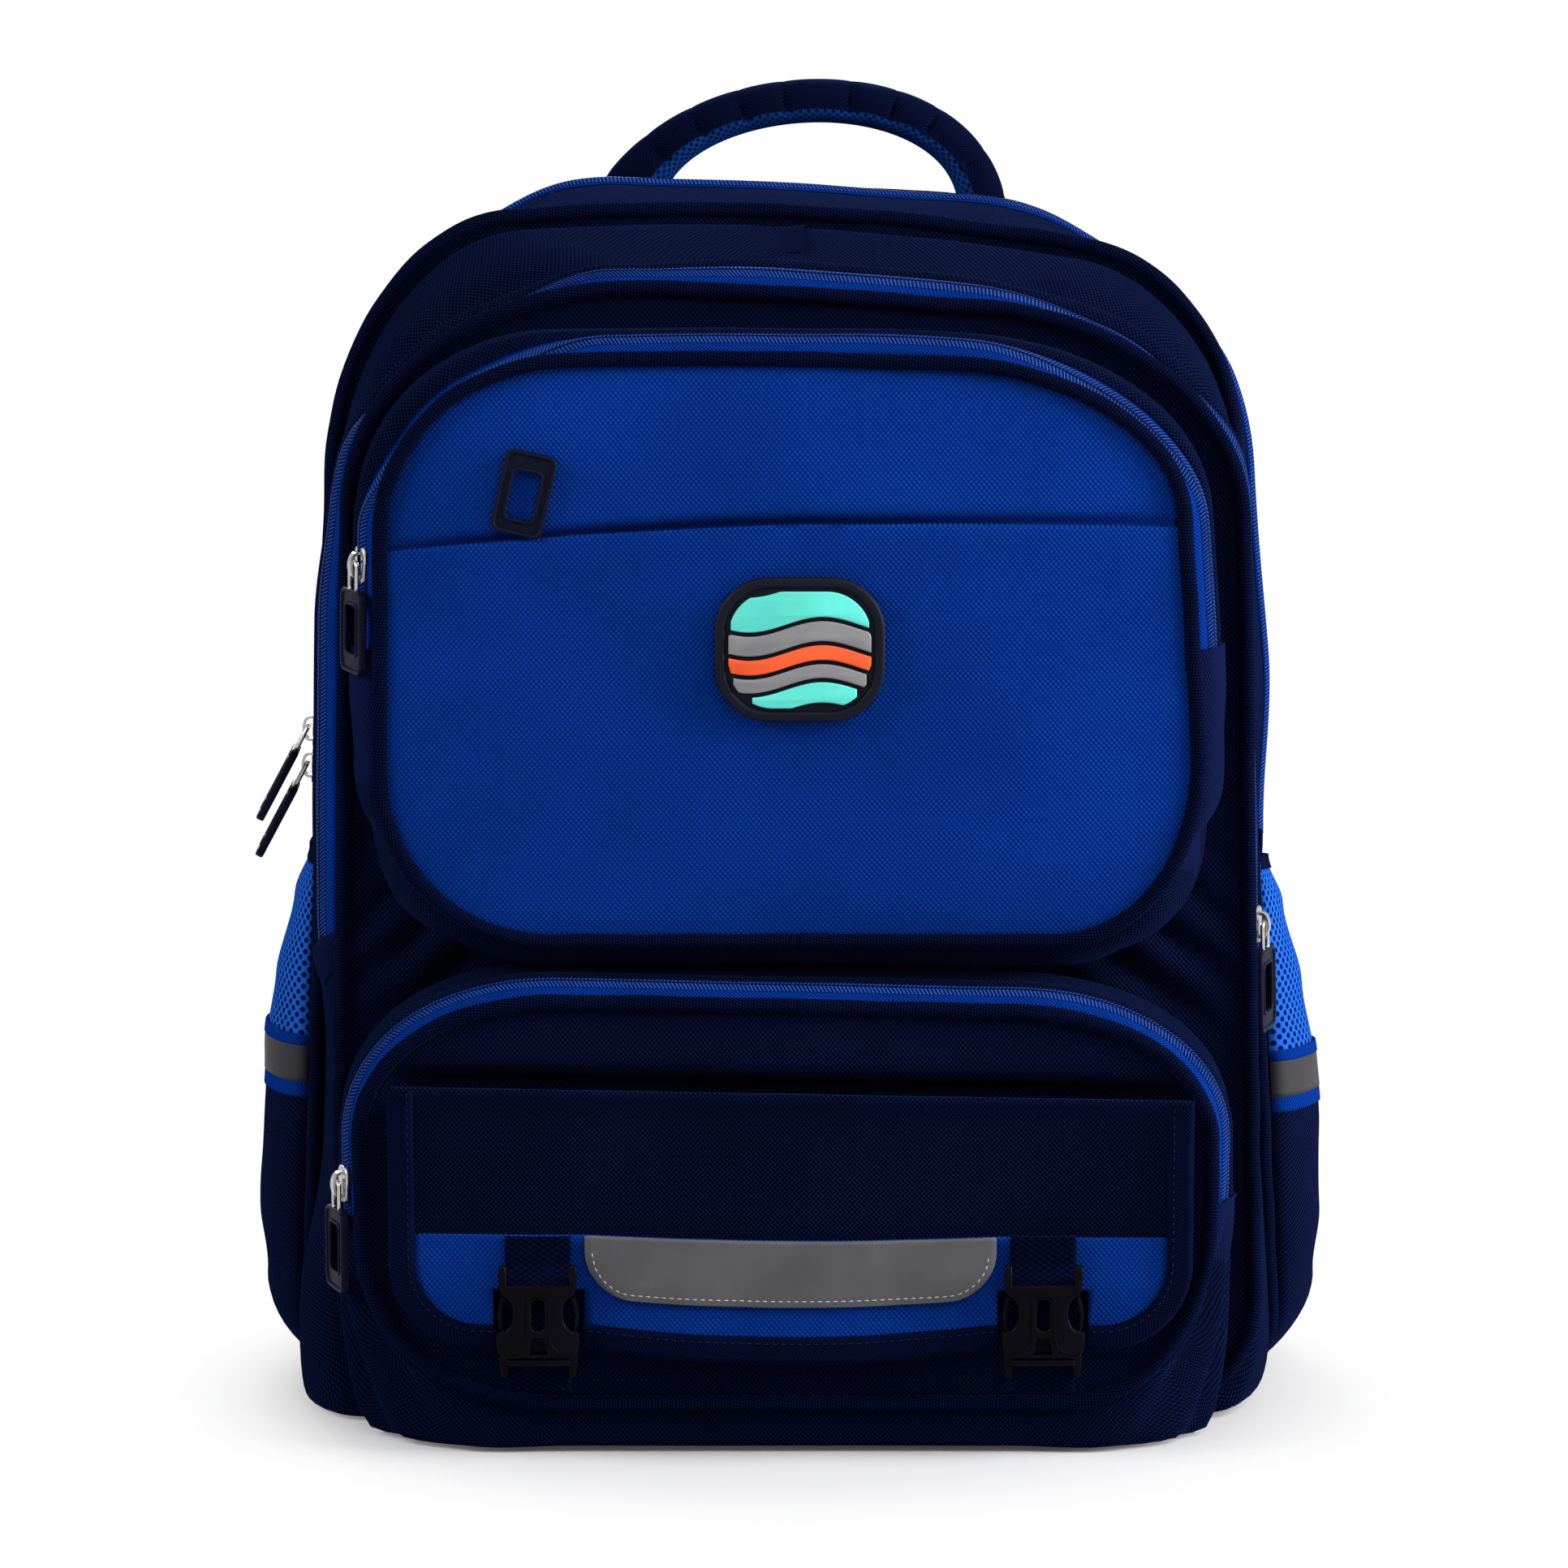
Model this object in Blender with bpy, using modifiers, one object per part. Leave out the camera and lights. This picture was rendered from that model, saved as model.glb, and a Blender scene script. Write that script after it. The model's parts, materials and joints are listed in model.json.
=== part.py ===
"""School backpack: four zipped compartments, a buckled flap, side pockets, handle and shoulder straps.

Metres, +Z up, front towards -Y. The origin is on the floor, under the main compartment.
"""
import math

import bmesh
import bpy
from mathutils import Matrix, Vector
from mathutils.geometry import interpolate_bezier

# Cloth, cord and clearances
GAP = 0.0003                # clearance between pieces that touch
TOUCH = 1e-9                # lengths closer than this count as equal
FULLNESS = 0.58             # how square a rounded corner is, as a share of its reach
ROUNDNESS = 0.55            # the same for the corners of plates, close to a circle
CLOTH = 0.0016              # gusset cloth with its lining
WALL = 0.0018               # front and back walls with their lining
PIPE_RADIUS = 0.0026        # piping cord in the seams
WEBBING = 0.0013            # woven strap thickness
WEBBING_WIDTH = 0.0220

# Depths, from the back wall forward
BACK_FACE = 0.0550
MAIN_DEPTH = 0.0900
MIDDLE_DEPTH = 0.0450
UPPER_DEPTH = 0.0300
LOWER_DEPTH = 0.0400
GUSSET_SWELL = 0.0030       # how far a filled gusset stands out past its seams
SWELL_RUN = 0.0090          # distance from a seam over which the gusset swells out

# Main compartment outline; a round is its reach along the flat edge and up the side
MAIN_HALF_LOW = 0.1680
MAIN_HALF_HIGH = 0.1530
MAIN_HEIGHT = 0.4060
MAIN_CROWN = 0.0040
MAIN_FOOT_ROUND = (0.0280, 0.0260)
MAIN_TOP_ROUND = (0.1000, 0.1120)

# Middle compartment: its seam inside the main one, and its flare back to the main wall
MIDDLE_STEP_LOW = 0.0120
MIDDLE_STEP_HIGH = 0.0070
MIDDLE_DROP = 0.0190
MIDDLE_CROWN = 0.0020
MIDDLE_FOOT_ROUND = (0.0450, 0.0400)
MIDDLE_TOP_ROUND = (0.0880, 0.0780)
MIDDLE_FLARE_SIDE = 0.0050
MIDDLE_FLARE_TOP = 0.0100

# Lower front pocket
LOWER_STEP = 0.0130
LOWER_FOOT = 0.0177
LOWER_HEIGHT = 0.1373
LOWER_FOOT_ROUND = (0.0620, 0.0480)
LOWER_TOP_ROUND = (0.0620, 0.0380)
LOWER_FLARE_SIDE = 0.0060
LOWER_FLARE_TOP = 0.0050
LOWER_FLARE_FOOT = 0.0087
LOWER_DOME = 0.0025         # how far the front wall stands out in its middle

# Upper front pocket, above the lower one
POCKETS_APART = 0.0190
UPPER_STEP_LOW = 0.0190
UPPER_STEP_HIGH = 0.0120
UPPER_DROP = 0.0170
UPPER_CROWN = 0.0010
UPPER_FOOT_ROUND = (0.0600, 0.0420)
UPPER_TOP_ROUND = (0.0640, 0.0580)
UPPER_FLARE_SIDE = 0.0060
UPPER_FLARE_TOP = 0.0060
UPPER_FLARE_FOOT = 0.0020
UPPER_DOME = 0.0060

# Zips
ZIP_TAPE = 0.0135           # width of the tape that shows
COIL_WIDTH = 0.0046
COIL_RISE = 0.0013
ZIP_CLOTH = 0.0011
MAIN_ZIP_BACK = 0.0270      # from the back wall to the main zip's rear edge

# Slider and puller
SLIDER_LENGTH = 0.0115
SLIDER_WIDTH = 0.0085
SLIDER_PLATE = 0.0020
SLIDER_ROUND = 0.0019
POST = 0.0012
BAIL_WIDTH = 0.0022
BAIL_ROUND = 0.0012
EYE_BAR = 0.0018            # bar of the puller's eye, held under the slider's bail
PULL_THICKNESS = 0.0022
PULL_WIDTH = 0.0175
PULL_LENGTH = 0.0280
PULL_TOP_ROUND = 0.0030
PULL_FOOT_ROUND = 0.0045
LINK_LENGTH = 0.0080
LINK_WIDTH = 0.0074
LINK_ROUND = 0.0008
EYE_PLAY = 0.0010           # room in the eye on each side of the bail
WINDOW_WIDTH = 0.0090
WINDOW_LENGTH = 0.0160
WINDOW_DROP = 0.0054        # from the tab's top edge down to its window
WINDOW_ROUND = 0.0020

# Zip ends: above the floor, above the foot of the pocket, or below the round of its top
MAIN_ZIP_END = 0.1960
MIDDLE_ZIP_END = 0.1620
UPPER_ZIP_STRAIGHT = 0.0400
LOWER_ZIP_RISE = 0.0653

# Sliders' centres above their zip's end
MAIN_SLIDER_RISE = 0.0140
MAIN_SLIDER_PITCH = 0.0130
MIDDLE_SLIDER_RISE = 0.0100
UPPER_SLIDER_RISE = 0.0280
LOWER_SLIDER_RISE = 0.0090
MAIN_PULL_LEAN = math.radians(26.0)

# Slip pocket, its puller and the patch
SLIT_DROP = 0.0610          # from the pocket's top seam down to the slit
SLIP_PULL_X = -0.0905
SLIP_PULL_RISE = 0.0030     # from the slit up to the lower edge of its puller
SLIP_PULL_LEAN = math.radians(12.6)
PATCH_WIDTH = 0.0560
PATCH_HEIGHT = 0.0480
PATCH_X = 0.0030
PATCH_DROP = 0.0340         # from the slit down to the patch's middle
PATCH_THICKNESS = 0.0022
PATCH_ROUND = 0.0180

# Flap: its place on the lower pocket, its blue panel and its reflective strip
FLAP_INSET = 0.0090
FLAP_DROP = 0.0290
FLAP_HEIGHT = 0.0870
FLAP_ROUND = 0.0300
FLAP_CLOTH = 0.0016
TRIM_HEIGHT = 0.0300
TRIM_MARGIN = 0.0090
TRIM_ROUND = 0.0200
TRIM_CLOTH = 0.0010
REFLECTOR_DROP = 0.0028
REFLECTOR_HEIGHT = 0.0180
REFLECTOR_ROUND = 0.0060
REFLECTOR_FILM = 0.0006

# Buckles
BUCKLE_INSET = 0.0500       # from the flap's side edge to a buckle's middle
BUCKLE_WIDTH = 0.0280
BUCKLE_EDGE_ROUND = 0.0010
BUCKLE_END_ROUND = 0.0015
BUCKLE_SHOULDER_ROUND = 0.0030
SOCKET_HEIGHT = 0.0245
SOCKET_RISE = 0.0065        # from the flap's lower edge up to the socket half
SOCKET_PLATE = 0.0024
SOCKET_BAR = 0.0026
SOCKET_TAPER = 0.0030
PLUG_HEIGHT = 0.0150
PLUG_PLATE = 0.0028
PLUG_TAPER = 0.0020
PLUG_BAR = 0.0030
PRONG_WIDTH = 0.0024
PRONG_LENGTH = 0.0130
PRONG_INSET = 0.0008        # how far a prong stands in from the buckle's side
PRONG_TIP_ROUND = 0.0009
TONGUE_HALF = 0.0050
NOTCH_RISE = 0.0025
NOTCH_HEIGHT = 0.0100
SLOT_HEIGHT = 0.0034
RELIEF = 0.0012             # clearance of the flap round the plug half
STRAP_SEAM = 0.0090         # above the socket half, where its webbing is sewn to the flap
STRAP_TAIL = 0.0060         # below the plug half, where its webbing ends

# Side pockets
POCKET_CLOTH = 0.0014
POCKET_TOP = 0.1870
POCKET_SWELL = 0.0150
POCKET_MOUTH = 0.0075
POCKET_FOOT_RUN = 0.18      # share of the height over which the foot swells out
POCKET_MOUTH_RUN = 0.50     # share of the height over which the mouth draws in

# Handle
HANDLE_X = 0.0065           # the handle sits a little to the right of the middle
HANDLE_HALF = 0.0560
HANDLE_RISE = 0.0250
HANDLE_DEPTH = 0.0230
HANDLE_THICKNESS = 0.0140
HANDLE_FOOT = 0.0032
HANDLE_BACK = 0.0080        # from the back wall to the handle's feet

# Back pads, straps and their fittings
BOARD = 0.0020
BOARD_MARGIN = 0.0120
PAD_HALF = 0.0560
PAD_MARGIN = 0.0420         # from the bag's side to the outer edge of a pad
PAD_LOW = 0.0700
PAD_HIGH = 0.3450
PAD_EDGE = 0.0060
PAD_CROWN = 0.0070
PAD_ROUND = 0.0300
STRAP_X = 0.0450
STRAP_ROOT = 0.3820
STRAP_WIDTH = 0.0620
STRAP_THICKNESS = 0.0110
STRAP_BOW = 0.0440
STRAP_TIP_BOW = 0.0154
STRAP_TIP_WIDTH = 0.0340
STRAP_END_THICKNESS = 0.0060
LOCK_STEP = 0.0360          # sideways from a strap's foot in to its lock
LOCK_HEIGHT = 0.1420
LOCK_STAND = 0.0260         # from the back wall out to the lock
LOCK_WIDTH = 0.0290
LOCK_LENGTH = 0.0230
LOCK_THICKNESS = 0.0036
LOCK_BAR = 0.0036
LOCK_ROUND = 0.0020
STRAP_FOOT_INSET = 0.0420   # from the bag's side in to a strap's foot
STRAP_FOOT_Z = 0.0320
TAIL_LENGTH = 0.0700

# Values worked out from the sizes above
MAIN_FRONT = BACK_FACE - MAIN_DEPTH
MIDDLE_FRONT = MAIN_FRONT - MIDDLE_DEPTH
UPPER_FRONT = MIDDLE_FRONT - UPPER_DEPTH
LOWER_FRONT = MIDDLE_FRONT - LOWER_DEPTH
BASE_SEAM = GUSSET_SWELL + CLOTH / 2
POCKET_BOTTOM = BASE_SEAM + MAIN_FOOT_ROUND[1]
MIDDLE_TOP = MAIN_HEIGHT - MIDDLE_DROP
LOWER_TOP = LOWER_FOOT + LOWER_HEIGHT
LOWER_HALF = MAIN_HALF_LOW - MIDDLE_STEP_LOW - LOWER_STEP
UPPER_FOOT = LOWER_TOP + POCKETS_APART
UPPER_TOP = MIDDLE_TOP - UPPER_DROP
UPPER_ZIP_END = UPPER_TOP - UPPER_TOP_ROUND[1] - UPPER_ZIP_STRAIGHT
LOWER_ZIP_END = LOWER_FOOT + LOWER_ZIP_RISE
SLIT_HEIGHT = UPPER_TOP - SLIT_DROP
FLAP_HALF = LOWER_HALF - FLAP_INSET
BUCKLE_X = FLAP_HALF - BUCKLE_INSET
FLAP_TOP = LOWER_TOP - FLAP_DROP
FLAP_BOTTOM = FLAP_TOP - FLAP_HEIGHT
TRIM_BOTTOM = FLAP_BOTTOM + TRIM_MARGIN
TRIM_TOP = TRIM_BOTTOM + TRIM_HEIGHT
SOCKET_BOTTOM = FLAP_BOTTOM + SOCKET_RISE
SOCKET_TOP = SOCKET_BOTTOM + SOCKET_HEIGHT
PLUG_BOTTOM = SOCKET_BOTTOM - PLUG_HEIGHT
SEAM_INSET = PIPE_RADIUS + GAP
PAD_X = MAIN_HALF_LOW - PAD_MARGIN - PAD_HALF
STRAP_FOOT_X = MAIN_HALF_LOW - STRAP_FOOT_INSET
LOCK_X = STRAP_FOOT_X - LOCK_STEP
HOLLOW = math.hypot(EYE_BAR / 2, PULL_THICKNESS / 2) + GAP
BAR_STAND = COIL_RISE + ZIP_CLOTH / 2 + GAP + SLIDER_PLATE + HOLLOW

NAVY = (0.006, 0.009, 0.030, 1.0)
ROYAL = (0.003, 0.028, 0.190, 1.0)
TAPE_BLUE = (0.004, 0.012, 0.100, 1.0)
SILVER = (0.115, 0.112, 0.116, 1.0)
BLACK = (0.008, 0.008, 0.010, 1.0)
RUBBER = (0.020, 0.021, 0.040, 1.0)
METAL = (0.180, 0.180, 0.190, 1.0)
TEAL = (0.020, 0.160, 0.200, 1.0)

for old in list(bpy.data.objects):
    bpy.data.objects.remove(old)

parts = bpy.data.collections.new("school_backpack")
bpy.context.scene.collection.children.link(parts)
cutters = bpy.data.collections.new("cutters")
bpy.context.scene.collection.children.link(cutters)


def finish(name, colour, roughness=0.85, metallic=0.0):
    """A material of the piece's own."""
    material = bpy.data.materials.new(name)
    material.use_nodes = True
    shader = material.node_tree.nodes["Principled BSDF"]
    shader.inputs["Base Color"].default_value = colour
    shader.inputs["Roughness"].default_value = roughness
    shader.inputs["Metallic"].default_value = metallic
    return material


def add_object(name, data, colour, roughness=0.85, metallic=0.0, collection=parts):
    """Put data in the model under its name, with a material of its own."""
    piece = bpy.data.objects.new(name, data)
    data.materials.append(finish(name, colour, roughness, metallic))
    collection.objects.link(piece)
    return piece


def add_thickness(piece, thickness):
    """Give an open surface its thickness, half to each side."""
    solidify = piece.modifiers.new("thickness", "SOLIDIFY")
    solidify.thickness = thickness
    solidify.offset = 0.0


def laid_grid(columns, rows, place, keep=None):
    """A bmesh grid whose crossing (column, row) lies at place(column, row); keep picks its cells."""
    grid = bmesh.new()
    bmesh.ops.create_grid(grid, x_segments=columns, y_segments=rows, size=0.5)
    cells = {vert: (round((vert.co.x + 0.5) * columns), round((vert.co.y + 0.5) * rows))
             for vert in grid.verts}
    if keep:
        dropped = []
        for face in grid.faces:
            column = min(cells[vert][0] for vert in face.verts)
            row = min(cells[vert][1] for vert in face.verts)
            if not keep(column, row):
                dropped.append(face)
        bmesh.ops.delete(grid, geom=dropped, context="FACES")
    for vert, cell in cells.items():
        if vert.is_valid:
            vert.co = place(*cell)
    return grid


def mesh_from(grid, name):
    """Weld a grid's meeting edges and turn its faces outward."""
    bmesh.ops.remove_doubles(grid, verts=grid.verts, dist=0.00001)
    bmesh.ops.recalc_face_normals(grid, faces=grid.faces)
    mesh = bpy.data.meshes.new(name)
    grid.to_mesh(mesh)
    grid.free()
    mesh.shade_smooth()
    mesh.set_sharp_from_angle(angle=math.radians(40.0))
    return mesh


def add_sheet(name, columns, rows, place, thickness, colour, keep=None):
    """A cloth sheet: a grid laid in place and given its thickness."""
    piece = add_object(name, mesh_from(laid_grid(columns, rows, place, keep), name), colour)
    add_thickness(piece, thickness)
    return piece


def add_tube(name, columns, rows, place, colour, roughness=0.85):
    """A closed or capped tube: a grid rolled up, with its open ends filled."""
    grid = laid_grid(columns, rows, place)
    bmesh.ops.remove_doubles(grid, verts=grid.verts, dist=0.00001)
    bmesh.ops.holes_fill(grid, edges=grid.edges)
    return add_object(name, mesh_from(grid, name), colour, roughness)


def rounded_loop(corners, steps=3):
    """Points of a closed outline from corners (x, y, radius), each corner rounded by a curve."""
    points = []
    for index, (x, y, radius) in enumerate(corners):
        here = Vector((x, y))
        if radius <= 0.0:
            points.append(here)
            continue
        before = Vector(corners[index - 1][:2])
        after = Vector(corners[(index + 1) % len(corners)][:2])
        start = here + (before - here).normalized() * radius
        end = here + (after - here).normalized() * radius
        from_start, to_end = start.lerp(here, ROUNDNESS), end.lerp(here, ROUNDNESS)
        points.extend(interpolate_bezier(start, from_start, to_end, end, steps + 1))
    return points


def mirrored(half):
    """Corners of a whole outline from its right half, listed from bottom to top."""
    return half + [(-x, y, radius) for x, y, radius in reversed(half)]


def add_plate(name, loops, thickness, place, colour, roughness=0.6, metallic=0.0, collection=parts):
    """A flat plate: an outline and its holes as a filled 2D curve, placed by a matrix."""
    curve = bpy.data.curves.new(name, "CURVE")
    curve.dimensions = "2D"
    curve.fill_mode = "BOTH"
    curve.extrude = thickness / 2
    for loop in loops:
        spline = curve.splines.new("POLY")
        spline.points.add(len(loop) - 1)
        for point, spot in zip(spline.points, loop):
            point.co = (spot[0], spot[1], 0.0, 1.0)
        spline.use_cyclic_u = True
    plate = add_object(name, curve, colour, roughness, metallic, collection)
    plate.matrix_world = place
    return plate


def facing_front(x, y, z):
    """Placement of a plate that faces the front: its x to the right, its y up."""
    return Matrix.Translation((x, y, z)) @ Matrix.Rotation(math.pi / 2, 4, "X")


class Outline:
    """A rounded wall outline in x and z, the same on both sides of x = 0."""

    LOW_STEPS = 4
    HIGH_STEPS = 6

    def __init__(self, half_low, half_high, low, high, corner_low, corner_high, crown=0.0):
        self.half_low = half_low
        self.half_high = half_high
        self.low = low
        self.high = high
        self.corner_low = corner_low
        self.corner_high = corner_high
        self.crown = crown

    def side(self, height):
        """Point of the straight side at a height."""
        share = (height - self.low) / (self.high - self.low)
        return Vector((self.half_low + (self.half_high - self.half_low) * share, height))

    def flared(self, side, top, foot=0.0):
        """The outline where the gusset meets the wall behind it."""
        return Outline(self.half_low + side, self.half_high + side, self.low - foot, self.high + top,
                       self.corner_low, self.corner_high, self.crown)

    def lift(self, x):
        """How far the crown raises the top edge at x."""
        return self.crown * (1.0 - (x / self.side(self.high - self.corner_high[1]).x) ** 2)

    def right_half(self, zip_end, crowned=True):
        """Points from the base's middle to the top's middle, with the side broken at the zip's end."""
        base_end = Vector((self.half_low - self.corner_low[0], self.low))
        side_start = self.side(self.low + self.corner_low[1])
        side_end = self.side(self.high - self.corner_high[1])
        top_start = Vector((self.half_high - self.corner_high[0], self.high))
        along = (side_end - side_start).normalized()
        round_low = interpolate_bezier(
            base_end, base_end + Vector((FULLNESS * self.corner_low[0], 0.0)),
            side_start - along * FULLNESS * self.corner_low[1], side_start, self.LOW_STEPS + 1)
        round_high = interpolate_bezier(
            side_end, side_end + along * FULLNESS * self.corner_high[1],
            top_start + Vector((FULLNESS * self.corner_high[0], 0.0)), top_start, self.HIGH_STEPS + 1)
        base = [Vector((0.0, self.low)), Vector((base_end.x / 2, self.low))]
        upper = list(round_high) + [Vector((top_start.x / 2, self.high)), Vector((0.0, self.high))]
        if crowned:
            upper = [point + Vector((0.0, self.lift(point.x))) for point in upper]
        return base + list(round_low) + [self.side(zip_end), self.side(zip_end + GAP)] + upper

    def zip_index(self):
        """Place of the zip end's two points in the right half."""
        return 2 + self.LOW_STEPS + 1

    def ring(self, zip_end, inset=0.0, crowned=True):
        """All points once round, from the base's middle up the right side, moved inward by inset."""
        half = self.right_half(zip_end, crowned)
        ring = half + [Vector((-point.x, point.y)) for point in reversed(half[1:-1])]
        return [point - outward * inset for point, outward in zip(ring, ring_normals(ring))]

    def reach(self, height, inset):
        """Half width at a height of the outline without its crown, moved inward."""
        points = self.ring((self.low + self.high) / 2, inset, crowned=False)
        points = points[:len(points) // 2 + 1]
        widest = 0.0
        for first, second in zip(points, points[1:]):
            lowest, highest = min(first.y, second.y), max(first.y, second.y)
            if lowest - TOUCH <= height <= highest + TOUCH:
                share = (height - first.y) / (second.y - first.y) if highest - lowest > TOUCH else 0.0
                widest = max(widest, first.x + (second.x - first.x) * min(max(share, 0.0), 1.0))
        return widest


def ring_normals(ring):
    """Outward directions at the points of a closed outline that runs anticlockwise."""
    normals = []
    for index, point in enumerate(ring):
        before = (point - ring[index - 1]).normalized()
        after = (ring[(index + 1) % len(ring)] - point).normalized()
        along = (before + after).normalized()
        normals.append(Vector((along.y, -along.x)))
    return normals


class Gusset:
    """The band between a rear and a front outline, with the seat of a zip."""

    def __init__(self, rear, front, rear_edge, front_edge, zip_rear, zip_front, zip_end):
        self.rear = rear.ring(zip_end)
        self.front = front.ring(zip_end)
        self.normals = ring_normals(self.front)
        self.rear_edge = rear_edge
        self.front_edge = front_edge
        self.zip_rear = zip_rear
        self.zip_front = zip_front
        self.count = len(self.front)
        self.first = front.zip_index()

    def swell(self, depth):
        """How far the cloth stands out at a depth, nothing at the two seams."""
        to_seam = min(self.rear_edge - depth, depth - self.front_edge)
        return GUSSET_SWELL * min(max(to_seam / SWELL_RUN, 0.0), 1.0)

    def spot(self, index, depth, lift=0.0):
        """Point of the band at an outline point and a depth, lifted off the cloth."""
        index = index % self.count
        share = (self.rear_edge - depth) / (self.rear_edge - self.front_edge)
        flat = self.rear[index].lerp(self.front[index], share)
        flat = flat + self.normals[index] * (self.swell(depth) + lift)
        return Vector((flat.x, depth, flat.y))

    def add_band(self, name, colour):
        """The cloth band, with the zip's seat cut out of it."""
        depths = sorted({self.rear_edge, self.rear_edge - SWELL_RUN, self.zip_rear, self.zip_front,
                         self.front_edge + SWELL_RUN, self.front_edge}, reverse=True)

        def keep(column, row):
            in_zip = self.first <= column < self.count - self.first
            return not (in_zip and self.zip_front - TOUCH <= depths[row + 1] and
                        depths[row] <= self.zip_rear + TOUCH)

        return add_sheet(name, self.count, len(depths) - 1,
                         lambda column, row: self.spot(column, depths[row]), CLOTH, colour, keep)

    def add_zip(self, name, colour):
        """The zip: its tape in the band's seat, with the coil standing up along its middle."""
        middle = (self.zip_rear + self.zip_front) / 2
        half_coil = COIL_WIDTH / 2
        run = [(self.zip_rear - GAP, 0.0), (middle + half_coil + COIL_RISE, 0.0),
               (middle + half_coil, COIL_RISE), (middle - half_coil, COIL_RISE),
               (middle - half_coil - COIL_RISE, 0.0), (self.zip_front + GAP, 0.0)]
        start = self.first + 1
        columns = self.count - 2 * start
        return add_sheet(name, columns, len(run) - 1,
                         lambda column, row: self.spot(start + column, *run[row]), ZIP_CLOTH, colour)

    def track(self, height, side):
        """Frame on the coil's middle at a height: x across the coil, y along it, z off the cloth."""
        middle = (self.zip_rear + self.zip_front) / 2
        low = self.first + 1
        high = low + 1
        if side < 0:
            low, high = self.count - low, self.count - high
        start, end = self.spot(low, middle), self.spot(high, middle)
        along = (end - start).normalized()
        across = self.spot(low, self.zip_front) - self.spot(low, self.zip_rear)
        off = along.cross(across).normalized()
        if off.x * side < 0:
            off = -off
        across = along.cross(off)
        origin = start + along * ((height - start.z) / along.z)
        frame = Matrix((across, along, off)).transposed().to_4x4()
        return Matrix.Translation(origin) @ frame


def add_piping(name, outline, front_face, colour):
    """Cord in a seam, flush with the wall in front of it."""
    ring = outline.ring((outline.low + outline.high) / 2)
    normals = ring_normals(ring)
    sides = 6

    def place(column, row):
        point, outward = ring[column % len(ring)], normals[column % len(ring)]
        turn = 2 * math.pi * (row + 0.5) / sides
        flat = point + outward * (PIPE_RADIUS * math.cos(turn))
        return Vector((flat.x, front_face + PIPE_RADIUS * (1.0 + math.sin(turn)), flat.y))

    return add_tube(name, len(ring), sides, place, colour)


class Wall:
    """A wall inside a seam: rows across the outline, pushed out by a dome."""

    COLUMNS = 12
    ROWS = 12

    def __init__(self, outline, middle, dome, inset=SEAM_INSET):
        self.outline = outline
        self.middle = middle
        self.dome = dome
        self.inset = inset
        self.low = outline.low + inset
        self.high = outline.high - inset

    def depth(self, x, z):
        """Y of the wall's middle surface at x and z."""
        reach = max(self.outline.reach(z, self.inset), TOUCH)
        across = 1.0 - min(abs(x) / reach, 1.0) ** 2
        upward = 1.0 - (2.0 * (z - self.low) / (self.high - self.low) - 1.0) ** 2
        return self.middle - self.dome * across * max(upward, 0.0)

    def add(self, name, colour, thickness=WALL, top=None):
        """The wall itself, up to a height of its own where one is given."""
        top = self.high if top is None else top

        def place(column, row):
            share = 0.5 - 0.5 * math.cos(math.pi * row / self.ROWS)
            z = self.low + (top - self.low) * share
            x = self.outline.reach(z, self.inset) * (2.0 * column / self.COLUMNS - 1.0)
            raised = self.outline.lift(x) * ((z - self.low) / (self.high - self.low)) ** 4
            return Vector((x, self.depth(x, z), z + raised))

        return add_sheet(name, self.COLUMNS, self.ROWS, place, thickness, colour)


def pull_half(link):
    """Right half outline of a puller that hangs from its eye bar, or from its edge with no link."""
    tab_top = -link
    tab = [(PULL_WIDTH / 2, tab_top - PULL_LENGTH, PULL_FOOT_ROUND),
           (PULL_WIDTH / 2, tab_top, PULL_TOP_ROUND)]
    if link:
        tab += [(LINK_WIDTH / 2, tab_top, 0.0), (LINK_WIDTH / 2, EYE_BAR / 2, LINK_ROUND)]
    return tab


def pull_loops(link):
    """Outline, window and eye of a puller."""
    window_top = -link - WINDOW_DROP
    window_half = WINDOW_WIDTH / 2
    window = mirrored([(window_half, window_top - WINDOW_LENGTH, WINDOW_ROUND),
                       (window_half, window_top, WINDOW_ROUND)])
    loops = [rounded_loop(mirrored(pull_half(link))), rounded_loop(window, 2)]
    if link:
        eye_half = BAIL_WIDTH / 2 + EYE_PLAY
        eye_low = -(math.sqrt(2.0) * (HOLLOW + POST) + GAP)
        loops.append(rounded_loop(mirrored([(eye_half, eye_low, 0.0), (eye_half, -EYE_BAR / 2, 0.0)])))
    return loops


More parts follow.
